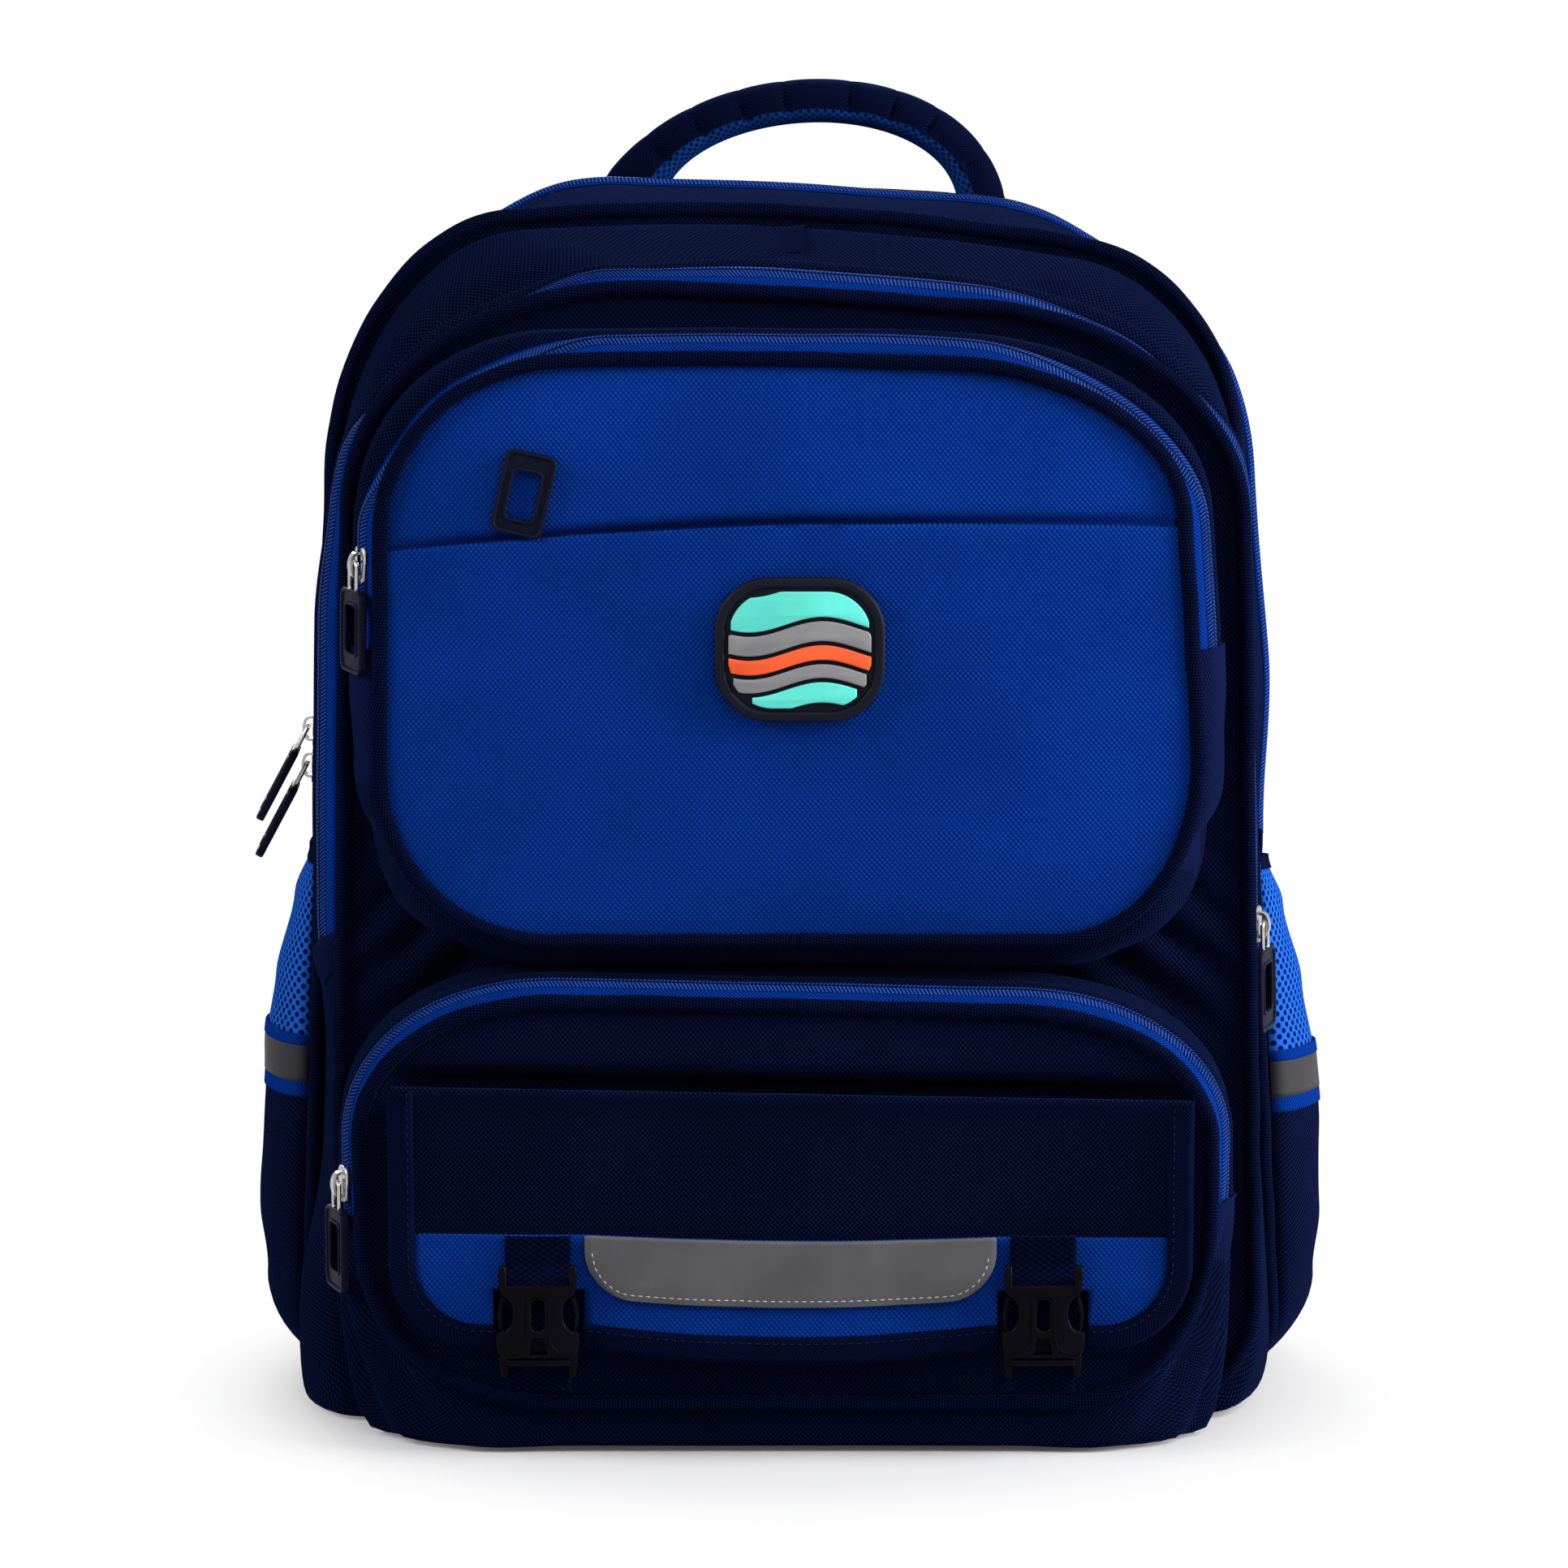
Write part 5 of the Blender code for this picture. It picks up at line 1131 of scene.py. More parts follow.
lower_tab_top = lower_seam.station(LOWER_ZIP_SHOWS, 1)
for label in ("middle", "upper_pocket", "lower_pocket", "main"):
    band, span, middle = bands[label], zip_spans[label], zip_edges[label] + ZIP_TAPE / 2.0
    right_start, right_length, left_length = span[0] + TAB_OVERLAP, TAB_LENGTH, TAB_LENGTH
    lift = MAIN_TAB_LIFT if label == "main" else TAB_LIFT
    if label == "upper_pocket":
        right_length = left_length = UPPER_TAB_LENGTH
    if label == "lower_pocket":
        right_start, right_length = lower_tab_top, lower_tab_top - span[0] + TAB_LENGTH
    add_zip_tab(label + "_zip_tab_right", band, right_start, middle, -right_length, lift)
    add_zip_tab(label + "_zip_tab_left", band, span[1] - TAB_OVERLAP, middle, left_length, lift)
print("zips:", len(zip_spans))

# %% [markdown]
# ## Sliders and pullers
# A slider is a bright nickel-plated casting with an arched bail over its plate. A flat metal link joins
# the bail to a puller of dark rubber with a raised rim and a window. Flat moulded shapes are easiest as
# filled outlines: a flat curve is filled, thickened and rounded at its edges, then turned into a mesh.

# %% Flat plates from outlines
SMOOTH_ANGLE = 35.0
ARCH_STEPS = 14


def rounded_box(width, height, radius, centre=(0.0, 0.0), steps=6):
    """Points round a box with rounded corners."""
    points = []
    for corner in range(4):
        middle_x = (width / 2.0 - radius) * (1 if corner in (0, 3) else -1)
        middle_y = (height / 2.0 - radius) * (1 if corner in (0, 1) else -1)
        for step in range(steps + 1):
            angle = math.pi / 2.0 * (corner + step / steps)
            points.append(Vector((centre[0] + middle_x + radius * math.cos(angle),
                                  centre[1] + middle_y + radius * math.sin(angle))))
    return points


def plate(outlines, thickness, edge):
    """A mesh of a flat plate with holes, its edges rounded, lying in its own x and y."""
    curve = bpy.data.curves.new("plate_outline", "CURVE")
    curve.dimensions = "2D"
    curve.fill_mode = "BOTH"
    curve.extrude = thickness / 2.0 - edge
    curve.bevel_depth = edge
    curve.bevel_resolution = 2
    curve.offset = -edge
    for outline in outlines:
        spline = curve.splines.new("POLY")
        spline.points.add(len(outline) - 1)
        spline.use_cyclic_u = True
        for knot, point in zip(spline.points, outline):
            knot.co = (point[0], point[1], 0.0, 1.0)
    holder = bpy.data.objects.new("plate_outline", curve)
    mesh = bpy.data.meshes.new_from_object(holder)
    bpy.data.objects.remove(holder)
    bpy.data.curves.remove(curve)
    return mesh


def assemble(name, parts, material):
    """One piece from several meshes, each with its place."""
    whole = bmesh.new()
    for mesh, place in parts:
        start = len(whole.verts)
        whole.from_mesh(mesh)
        whole.verts.ensure_lookup_table()
        bmesh.ops.transform(whole, matrix=place, verts=whole.verts[start:])
    bmesh.ops.remove_doubles(whole, verts=whole.verts, dist=1e-6)
    bmesh.ops.recalc_face_normals(whole, faces=whole.faces)
    piece = close_bmesh(name, whole, material)
    piece.data.set_sharp_from_angle(angle=math.radians(SMOOTH_ANGLE))
    return piece


def arch(width, thickness, reach, height):
    """A flat strap bent into an arch along y, standing in z."""
    strap = bmesh.new()
    bmesh.ops.create_grid(strap, x_segments=1, y_segments=ARCH_STEPS, size=0.5)
    for vertex in strap.verts:
        angle = math.pi * (vertex.co.y + 0.5)
        rise = height * math.sin(angle) ** 0.6 if 0.0 < angle < math.pi else 0.0
        vertex.co = Vector((vertex.co.x * width, -reach * math.cos(angle), rise))
    strap.normal_update()
    bmesh.ops.solidify(strap, geom=list(strap.faces), thickness=thickness)
    mesh = bpy.data.meshes.new("arch")
    strap.to_mesh(mesh)
    strap.free()
    return mesh


print("points round a box:", len(rounded_box(0.010, 0.020, 0.002)))

# %% [markdown]
# Each slider and puller is built flat at the origin and then placed by three directions: across the zip,
# along it and off the cloth. The frame's joints give these directions and the pivot.

# %% Sliders, links and pullers
joints = {joint["name"]: joint for joint in frame["joints"]}
BAR_STAND = 0.00587
PULL_WIDTH = 0.0175
PULL_LENGTH = 0.0280
PULL_THICKNESS = 0.0022
PULL_RIM = 0.0014
LINK_LENGTH = 0.0080
WINDOW = (0.0090, 0.0160)
WINDOW_DROP = 0.0054
WINDOW_COLLAR = 0.0011


def frame_matrix(across, along, off, origin):
    """A placing matrix from three directions and an origin."""
    turn = Matrix((across, along, off)).transposed()
    return Matrix.Translation(origin) @ turn.to_4x4()


def facing_front(origin):
    """A placing matrix for a flat outline: its x and y become x and z of the bag, its face the front."""
    return frame_matrix(Vector((1.0, 0.0, 0.0)), Vector((0.0, 0.0, 1.0)), FRONT, origin)


def slider_outline():
    """The slider's plate: broad shoulders at the top, a narrower tail."""
    half = [(0.0, 0.0062), (0.0030, 0.0060), (0.0043, 0.0045), (0.0044, 0.0015), (0.0036, -0.0008),
            (0.0033, -0.0052), (0.0024, -0.0062), (0.0, -0.0064)]
    return half + [(-x, y) for x, y in reversed(half[1:-1])]


def add_slider(name, across, along, off, pivot):
    """A slider of two plates with an arched bail, on its own body."""
    base = frame_matrix(across, along, off, pivot - off * BAR_STAND)
    lower = plate([slider_outline()], 0.0016, 0.0005)
    upper = plate([slider_outline()], 0.0018, 0.0006)
    parts = [(lower, base @ Matrix.Translation((0.0, 0.0, 0.0006))),
             (upper, base @ Matrix.Translation((0.0, 0.0, 0.0030))),
             (arch(0.0026, 0.0010, 0.0046, 0.0042), base @ Matrix.Translation((0.0, 0.0, 0.0034)))]
    settle(assemble(name + "_nickel", parts, slider_metal), name, "slider_metal", name)


def puller_parts():
    """Rubber parts of a puller that hangs down its own y from the origin."""
    middle = -LINK_LENGTH - PULL_LENGTH / 2.0
    window_middle = -LINK_LENGTH - WINDOW_DROP - WINDOW[1] / 2.0
    outer = rounded_box(PULL_WIDTH, PULL_LENGTH, 0.0034, (0.0, middle))
    inner = rounded_box(PULL_WIDTH - 2.0 * PULL_RIM, PULL_LENGTH - 2.0 * PULL_RIM, 0.0022, (0.0, middle))
    window = rounded_box(WINDOW[0], WINDOW[1], 0.0016, (0.0, window_middle))
    collar = rounded_box(WINDOW[0] + 2.0 * WINDOW_COLLAR, WINDOW[1] + 2.0 * WINDOW_COLLAR, 0.0024,
                         (0.0, window_middle))
    flat = Matrix.Identity(4)
    return [(plate([outer, window], PULL_THICKNESS - 0.0006, 0.0004), flat),
            (plate([outer, inner], PULL_THICKNESS + 0.0006, 0.0006), flat),
            (plate([collar, window], PULL_THICKNESS + 0.0004, 0.0005), flat)]


def link_parts():
    """The flat metal link between the bail and the rubber."""
    middle = -LINK_LENGTH / 2.0
    outer = rounded_box(0.0074, LINK_LENGTH + 0.0036, 0.0022, (0.0, middle))
    inner = rounded_box(0.0046, LINK_LENGTH + 0.0008, 0.0012, (0.0, middle))
    return [(plate([outer, inner], 0.0015, 0.0006), Matrix.Identity(4))]


def add_puller(name, across, along, off, pivot):
    """A hanging puller: rubber and its metal link, both on the puller's body."""
    hang = frame_matrix(across, along, off, pivot)
    rubber = [(mesh, hang @ place) for mesh, place in puller_parts()]
    settle(assemble(name + "_rubber", rubber, puller_rubber), name, "puller_rubber", name)
    link = [(mesh, hang @ place) for mesh, place in link_parts()]
    settle(assemble(name + "_link", link, slider_metal), name, "slider_metal")


MAIN_PULL_LEAN = math.radians(26.0)
for label, lean in (("main_upper", MAIN_PULL_LEAN), ("main_lower", MAIN_PULL_LEAN), ("middle", 0.0),
                    ("upper_pocket", 0.0), ("lower_pocket", 0.0)):
    pivot = Vector(joints[label + "_puller_swing"]["pos_m"])
    along = Vector(joints[label + "_zip_run"]["axis"]).normalized()
    off = Vector(joints[label + "_puller_swing"]["axis"]).cross(along).normalized()
    if off.x * pivot.x < 0.0:
        off.negate()
    across = along.cross(off)
    add_slider(label + "_slider", across, along, off, pivot)
    tipped = along * math.cos(lean) - off * math.sin(lean)
    add_puller(label + "_puller", across, tipped, across.cross(tipped), pivot)

slip_axis = Vector(joints["slip_puller_swing"]["axis"]).normalized()
slip_pivot = Vector(joints["slip_puller_swing"]["pos_m"])
slip_along = FRONT.cross(slip_axis)
if slip_along.z > 0.0:
    slip_along.negate()
slip_frame = frame_matrix(slip_along.cross(FRONT), slip_along, FRONT, slip_pivot)
slip_shift = Matrix.Translation((0.0, LINK_LENGTH, 0.0))
slip_parts = [(mesh, slip_frame @ slip_shift @ place) for mesh, place in puller_parts()]
slip_rubber = assemble("slip_puller_rubber", slip_parts, puller_rubber)
settle(slip_rubber, "slip_puller", "puller_rubber", "slip_puller")

# %% [markdown]
# ## The flap
# The flap is sewn across the front of the lower pocket and hangs over it. Its navy sheet is bound with a
# folded tape down both sides and along the foot; the foot sags in the middle and stands away in slow waves.
# Low on it sit a blue panel and a strip of grey reflective film with a row of light stitches. Behind each
# buckle the sheet is cut away, so the plug half can stay on the bag when the flap swings up. It could be
# draped as cloth, but a formula keeps its edges where the photograph shows them.

# %% Flap sheets
FLAP_HALF = 0.134
FLAP_TOP = 0.126
FLAP_FOOT = 0.039
FLAP_ROUND = 0.030
FLAP_BACK = -0.1228
FLAP_CLOTH = 0.0014
BUCKLE_X = 0.084
NOTCH_HALF = 0.0152
NOTCH_TOP = 0.0597
NOTCH_ROWS = 0.35


def flap_hang(x, z, y):
    """The place of a flap point: sag, tilt and waves on the flat sheet."""
    low = max(0.0, (FLAP_TOP - z) / (FLAP_TOP - FLAP_FOOT))
    middle = max(0.0, 1.0 - (x / 0.066) ** 2)
    sag = -0.0050 * middle * low ** 2
    tilt = -FLAP_TILT * x * (1.0 - low) ** 1.5
    wave = 0.0008 * low * math.sin(x * 62.0 + 0.8) + 0.0006 * ripple(Vector((x, 0.0, z)), 0.03)
    top_roll = 0.0012 * hump(z, FLAP_TOP, 0.004)
    return Vector((x, y - abs(wave) - top_roll - 0.0008 * middle * low, z + sag + tilt))


def rounded_reach(z, foot, half, radius):
    """Half the width of a sheet with rounded lower corners."""
    drop = radius - (z - foot)
    if drop <= 0.0:
        return half
    return half - radius + math.sqrt(max(0.0, radius ** 2 - min(drop, radius) ** 2))


def notched_x(across, reach):
    """Column places that land on the edges of both notches."""
    inner, outer = BUCKLE_X - NOTCH_HALF, BUCKLE_X + NOTCH_HALF
    stops = [(0.0, -reach), (0.15, -outer), (0.25, -inner), (0.75, inner), (0.85, outer), (1.0, reach)]
    for (share, x), (next_share, next_x) in zip(stops, stops[1:]):
        if across <= next_share + 1e-9:
            return x + (next_x - x) * (across - share) / (next_share - share)
    return reach


def in_notch(centre):
    """Whether a point lies where the sheet is cut away behind a buckle."""
    return abs(abs(centre.x) - BUCKLE_X) < NOTCH_HALF and centre.z < NOTCH_TOP


def add_flap_sheet(name, foot, top, half, radius, y, material, slot, node, thickness):
    """A sheet of the flap with rounded lower corners and the two notches."""

    def place(across, along):
        if along <= NOTCH_ROWS:
            z = foot + (NOTCH_TOP - foot) * (along / NOTCH_ROWS) ** 1.5
        else:
            z = NOTCH_TOP + (top - NOTCH_TOP) * (along - NOTCH_ROWS) / (1.0 - NOTCH_ROWS)
        return flap_hang(notched_x(across, rounded_reach(z, foot, half, radius)), z, y)

    sheet = lay(name, 80, 40, place, material, thickness, facing=FRONT, flat_map=True, drop=in_notch)
    return settle(sheet, "flap", slot, node)


print("flap, flat:", round(2.0 * FLAP_HALF, 3), "by", round(FLAP_TOP - FLAP_FOOT, 3))

# %% [markdown]
# The flap's edge is measured off along its outline, so that the binding and its stitches can follow it.
# A stitch is a small stretched bead of thread.

# %% Binding, strip and stitches
def flap_edge(share, inset):
    """A point on the flap's outline, set in by a distance: down the left, along the foot, up the right."""
    half, radius, foot = FLAP_HALF - inset, FLAP_ROUND - inset, FLAP_FOOT + inset
    side = FLAP_TOP - foot - radius
    quarter = radius * math.pi / 2.0
    level = 2.0 * (half - radius)
    run = share * (2.0 * side + 2.0 * quarter + level)
    if run < side:
        return Vector((-half, FLAP_TOP - run))
    run -= side
    if run < quarter:
        angle = run / radius
        return Vector((-half + radius - radius * math.cos(angle), foot + radius - radius * math.sin(angle)))
    run -= quarter
    if run < level:
        return Vector((-half + radius + run, foot))
    run -= level
    if run < quarter:
        angle = run / radius
        return Vector((half - radius + radius * math.sin(angle), foot + radius - radius * math.cos(angle)))
    return Vector((half, foot + radius + run - quarter))


BINDING_WIDTH = 0.0088
BINDING_RISE = 0.0021
BINDING_BACK = FLAP_BACK - 0.0016
STRIP_FOOT = 0.0572
STRIP_TOP = 0.0782
STRIP_HALF = 0.0685
STRIP_ROUND = 0.016
STRIP_BACK = FLAP_BACK - 0.0035
STITCH_HALF = 0.0662
STITCH_INSET = 0.0022


def add_binding():
    """The folded tape over the flap's edge, thickest a little inside its edge."""

    def place(across, along):
        spot = flap_edge(across, BINDING_WIDTH * along)
        rise = BINDING_RISE * min(1.0, 5.0 * along + 0.2, 9.0 * (1.0 - along))
        return flap_hang(spot.x, spot.y, BINDING_BACK - rise)

    tape = lay("flap_binding", 260, 12, place, binding_tape, facing=FRONT, drop=in_notch)
    return settle(tape, "flap", "webbing")


def add_strip():
    """The reflective strip, its lower corners well rounded."""

    def place(across, along):
        z = STRIP_FOOT + (STRIP_TOP - STRIP_FOOT) * along ** 1.3
        reach = rounded_reach(z, STRIP_FOOT, STRIP_HALF, STRIP_ROUND)
        return flap_hang(-reach + 2.0 * reach * across, z, STRIP_BACK)

    strip = lay("flap_strip_film", 60, 24, place, film, 0.0008, facing=FRONT, flat_map=True)
    return settle(strip, "flap", "reflective", "flap_reflective_strip")


def stitch_row(name, path, gap, radius, material, skip=None):
    """A row of stitches on the flap along a path of points: small stretched beads at even steps."""
    lengths = run_lengths(path)
    row = bmesh.new()
    count = int(lengths[-1] / gap)
    for i in range(count):
        target = (i + 0.5) * gap
        k = next(n for n, value in enumerate(lengths) if value >= target)
        share = (target - lengths[k - 1]) / (lengths[k] - lengths[k - 1])
        spot = path[k - 1].lerp(path[k], share)
        if skip and skip(spot):
            continue
        ahead = (path[k] - path[k - 1]).normalized()
        turn = ahead.to_track_quat("X", "Z").to_matrix().to_4x4()
        size = Matrix.Diagonal((gap * 0.34, radius, radius, 1.0))
        place = Matrix.Translation(spot) @ turn @ size
        bmesh.ops.create_icosphere(row, subdivisions=1, radius=1.0, matrix=place)
    return settle(close_bmesh(name, row, material), "flap", "webbing")


def strip_stitch_spot(share):
    """A point on the strip's row of stitches, which turns up at both ends."""
    x = STITCH_HALF * (2.0 * share - 1.0)
    turn = STRIP_ROUND - STITCH_INSET
    bend = min(1.0, max(0.0, (abs(x) - (STITCH_HALF - turn)) / turn))
    z = STRIP_FOOT + STITCH_INSET + turn * (1.0 - math.sqrt(1.0 - bend ** 2))
    return flap_hang(x, z, STRIP_BACK - 0.0011)


def binding_stitch_spot(share):
    """A point on the binding's row of stitches, near its inner edge."""
    spot = flap_edge(share, BINDING_WIDTH - 0.0020)
    return flap_hang(spot.x, spot.y, BINDING_BACK - BINDING_RISE)


flap_cloth = add_flap_sheet("flap_cloth", FLAP_FOOT, FLAP_TOP, FLAP_HALF, FLAP_ROUND, FLAP_BACK, navy_canvas,
                            "navy_cloth", "flap_panel", FLAP_CLOTH)
flap_blue = add_flap_sheet("flap_blue_cloth", 0.0475, 0.0780, 0.1255, 0.022, FLAP_BACK - 0.0018,
                           royal_canvas, "royal_cloth", "flap_blue_panel", 0.0010)
flap_binding = add_binding()
flap_strip = add_strip()
strip_path = [strip_stitch_spot(i / 120.0) for i in range(121)]
strip_stitches = stitch_row("flap_strip_stitches", strip_path, 0.0026, 0.00022, thread_grey)
binding_path = [binding_stitch_spot(i / 240.0) for i in range(241)]
binding_stitches = stitch_row("flap_binding_stitches", binding_path, 0.0028, 0.00024, thread_navy,
                              skip=in_notch)

# %% [markdown]
# ## Buckles
# Each side-release buckle has a socket on the flap's webbing and a plug on the bag's. The socket's face has
# a necked waist where the plug's sprung prongs show, a slot in the middle and a moulded line that runs down
# from the slot and turns out towards both shoulders. The plug shows its cross bar and legs below it.
# Blocks with cut-outs would do, but half an outline, mirrored and filled, gives the waist its curve and
# rounds every edge at once.

# %% Outlines of the buckle
MILLIMETRE = 0.001
WAIST_STEPS = 10


def buckle_face(points):
    """Close a half outline in millimetres to both sides, in metres."""
    right = [Vector(point) * MILLIMETRE for point in points]
    return right + [Vector((-point.x, point.y)) for point in reversed(right)]


def waist():
    """The necked waist of the socket, a half ellipse, from its top to its foot, in millimetres."""
    points = []
    for i in range(WAIST_STEPS + 1):
        angle = math.pi * i / WAIST_STEPS
        points.append((11.9 - 3.7 * math.sin(angle), 53.5 + 6.1 * math.cos(angle)))
    return points


def socket_outline():
    """The socket's whole outline, with its raised shoulders and its waist."""
    top = [(10.4, 63.2), (10.5, 69.4), (11.4, 70.2), (12.9, 69.6), (13.2, 66.0), (12.9, 63.0)]
    foot = [(13.6, 47.0), (13.8, 43.0), (13.0, 40.0), (11.6, 38.2), (5.2, 38.2)]
    return buckle_face(top + waist() + foot)


def bead_line(points, radius, sides=6):
    """A thin round bead along a row of points."""
    bead = bmesh.new()
    bmesh.ops.create_grid(bead, x_segments=len(points) - 1, y_segments=sides, size=0.5)
    count = len(points) - 1
    for vertex in bead.verts:
        i = round((vertex.co.x + 0.5) * count)
        angle = 2.0 * math.pi * (vertex.co.y + 0.5)
        ahead = (points[min(i + 1, count)] - points[max(i - 1, 0)]).normalized()
        side = ahead.cross(Vector((0.0, 0.0, 1.0))).normalized()
        up = Vector((0.0, 0.0, radius * math.sin(angle)))
        vertex.co = points[i] + side * radius * math.cos(angle) + up
    bmesh.ops.remove_doubles(bead, verts=bead.verts, dist=1e-6)
    mesh = bpy.data.meshes.new("bead")
    bead.to_mesh(mesh)
    bead.free()
    return mesh


def moulded_line():
    """The line round the socket's slot that turns out to the shoulders, in metres of its face."""
    right = [(0.0, 59.6), (2.4, 59.5), (3.5, 58.6), (3.6, 52.0), (3.7, 46.0), (4.6, 42.6), (6.6, 40.4),
             (10.8, 39.6)]
    whole = [(-x, z) for x, z in reversed(right[1:])] + right
    return [Vector((x, z, 0.0)) * MILLIMETRE for x, z in whole]


def buckle_matrix(x, y):
    """A placing matrix for an outline of the bag's front, at a depth."""
    return facing_front(Vector((x, y, 0.0)))


print("socket outline points:", len(socket_outline()))

# %% [markdown]
# The webbings lie flat on the flap and on the pocket and come forward to the buckle. Socket, plug and
# prongs each go to the body that carries them.

# %% Webbings, sockets, plugs and prongs
SOCKET_FACE = -0.1322
PLUG_FACE = -0.1290
PLUG_BAR_FACE = -0.1312
PRONG_FACE = -0.1300
PRONG_STEPS = 8
FLAP_STRAP_FACE = -0.1272
POCKET_STRAP_FACE = -0.1262
WEBBING_DEPTH = 0.0013


def strap_sheet(name, x, width, low, high, y, body, node):
    """A flat length of webbing on the front, with a rolled edge to each side."""

    def place(across, along):
        edge = abs(2.0 * across - 1.0)
        bulge = 0.0003 * (1.0 - edge ** 6)
        return Vector((x + (across - 0.5) * width, y(along) - bulge, low + (high - low) * along))

    strap = lay(name, 16, 20, place, webbing_weave, WEBBING_DEPTH, facing=FRONT)
    settle(strap, body, "webbing", node)


def flap_strap_y(along):
    """The flap's webbing comes forward at its foot, where it runs into the socket."""
    return FLAP_STRAP_FACE - 0.0040 * hump(along, 0.0, 0.22)


def pocket_strap_y(along):
    """The pocket's webbing leans forward towards the plug."""
    return POCKET_STRAP_FACE - 0.0030 * along


def add_socket(side, x):
    """The socket half: a plate with a slot and a mouth, and the moulded line on its face."""
    slot = rounded_box(0.0042, 0.0104, 0.0016, (0.0, 0.0530))
    mouth = [Vector((0.0019, 0.0450)), Vector((-0.0019, 0.0450)), Vector((-0.0030, 0.0394)),
             Vector((0.0030, 0.0394))]
    face = plate([socket_outline(), slot, mouth], 0.0030, 0.0007)
    line = bead_line(moulded_line(), 0.00036)
    parts = [(face, buckle_matrix(x, SOCKET_FACE)), (line, buckle_matrix(x, SOCKET_FACE - 0.0015))]
    socket = assemble("buckle_socket_face_" + side, parts, buckle_plastic)
    settle(socket, "flap", "black_plastic", "buckle_socket_" + side)


def add_plug(side, x):
    """The plug half: a frame with two legs, and the cross bar that holds the webbing."""
    legs = buckle_face([(12.6, 44.8), (13.0, 36.0), (12.4, 31.2), (11.2, 30.4), (10.2, 31.2), (10.0, 35.4)])
    bar = rounded_box(0.0214, 0.0024, 0.0008, (0.0, 0.0366))
    parts = [(plate([legs], 0.0028, 0.0006), buckle_matrix(x, PLUG_FACE)),
             (plate([bar], 0.0034, 0.0008), buckle_matrix(x, PLUG_BAR_FACE))]
    plug = assemble("buckle_plug_frame_" + side, parts, buckle_plastic)
    settle(plug, "bag", "black_plastic", "buckle_plug_" + side)


def add_prong(node, lean):
    """A sprung prong: a thin rod that bows outwards, over the height of its solid."""
    low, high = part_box(node)
    middle_x = (low.x + high.x) / 2.0
    arc = []
    for i in range(PRONG_STEPS + 1):
        share = i / PRONG_STEPS
        bow = lean * 0.0012 * math.sin(math.pi * share)
        arc.append(Vector((middle_x - lean * 0.0006 + bow, low.z + (high.z - low.z) * share, 0.0)))
    rod = [(bead_line(arc, 0.0010, 8), buckle_matrix(0.0, PRONG_FACE))]
    settle(assemble(node + "_rod", rod, buckle_plastic), node, "black_plastic", node)


hands = {"left": -1.0, "right": 1.0}
for side, sign in hands.items():
    x = sign * BUCKLE_X
    strap_sheet("flap_strap_" + side, x, 0.0220, 0.0625, 0.0785, flap_strap_y, "flap",
                "flap_webbing_" + side)
    strap_sheet("pocket_strap_" + side, x, 0.0216, 0.0255, 0.0358, pocket_strap_y, "bag",
                "pocket_webbing_" + side)
    add_socket(side, x)
    add_plug(side, x)
    for hand, lean in hands.items():
        add_prong("buckle_prong_" + side + "_" + hand, lean)
print("buckles:", len(hands))

# %% [markdown]
# ## The rubber patch
# A soft rubber patch is sewn on the middle of the blue panel: a dark rim, and inside it low moulded waves
# of turquoise, grey and orange. The design is a plain one of its own. The waves could be painted, but
# moulded rubber catches light at its edges, so each band is a thin plate cut between two waves.

# %% Patch with moulded waves
PATCH_EDGE = 0.0035
PATCH_RIM = 0.0046
PATCH_CORNER = 0.018
PATCH_ROUND = 0.0146
WAVE_STEPS = 60
WAVE_RISE = 0.0026
LEAST_BAND = 0.0018
patch_navy = grained("patch_navy", (0.0024, 0.0030, 0.0080), 0.55, 0.0008, 0.00003, specular=0.08)
patch_teal = grained("patch_teal", (0.075, 0.480, 0.410), 0.55, 0.0008, 0.00003, specular=0.15)
patch_grey = grained("patch_grey", (0.155, 0.155, 0.160), 0.55, 0.0008, 0.00003, specular=0.15)
patch_orange = grained("patch_orange", (0.640, 0.075, 0.020), 0.55, 0.0008, 0.00003, specular=0.15)

patch_low, patch_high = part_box("rubber_patch")
patch_middle = (patch_low + patch_high) / 2.0
patch_place = facing_front(Vector((patch_middle.x, patch_low.y + 0.0005, patch_middle.z)))
patch_width, patch_height = patch_high.x - patch_low.x, patch_high.z - patch_low.z
outer = rounded_box(patch_width, patch_height, PATCH_CORNER, steps=12)
inner = rounded_box(patch_width - 2.0 * PATCH_EDGE, patch_height - 2.0 * PATCH_EDGE, PATCH_ROUND, steps=12)
rim = [(plate([outer], 0.0024, 0.0008), patch_place),
       (plate([outer, inner], 0.0024, 0.0010), patch_place @ Matrix.Translation((0.0, 0.0, 0.0010)))]
settle(assemble("patch_rim", rim, patch_navy), "bag", "patch_rubber", "rubber_patch")


def wave_band(low_level, high_level):
    """A closed outline between two waves, cut off where the rim leaves it too little room."""
    half_w, half_h = patch_width / 2.0 - PATCH_RIM, patch_height / 2.0 - PATCH_RIM
    floor_line, ceiling = [], []
    for i in range(WAVE_STEPS + 1):
        x = -half_w + 2.0 * half_w * i / WAVE_STEPS
        past = max(0.0, abs(x) - (half_w - PATCH_ROUND))
        room = half_h - PATCH_ROUND + math.sqrt(max(0.0, PATCH_ROUND ** 2 - past ** 2))
        wave = WAVE_RISE * math.sin(x * 130.0 + 0.6)
        under, over = max(-room, low_level + wave), min(room, high_level + wave)
        if over - under > LEAST_BAND:
            floor_line.append(Vector((x, under)))
            ceiling.append(Vector((x, over)))
    return floor_line + ceiling[::-1]


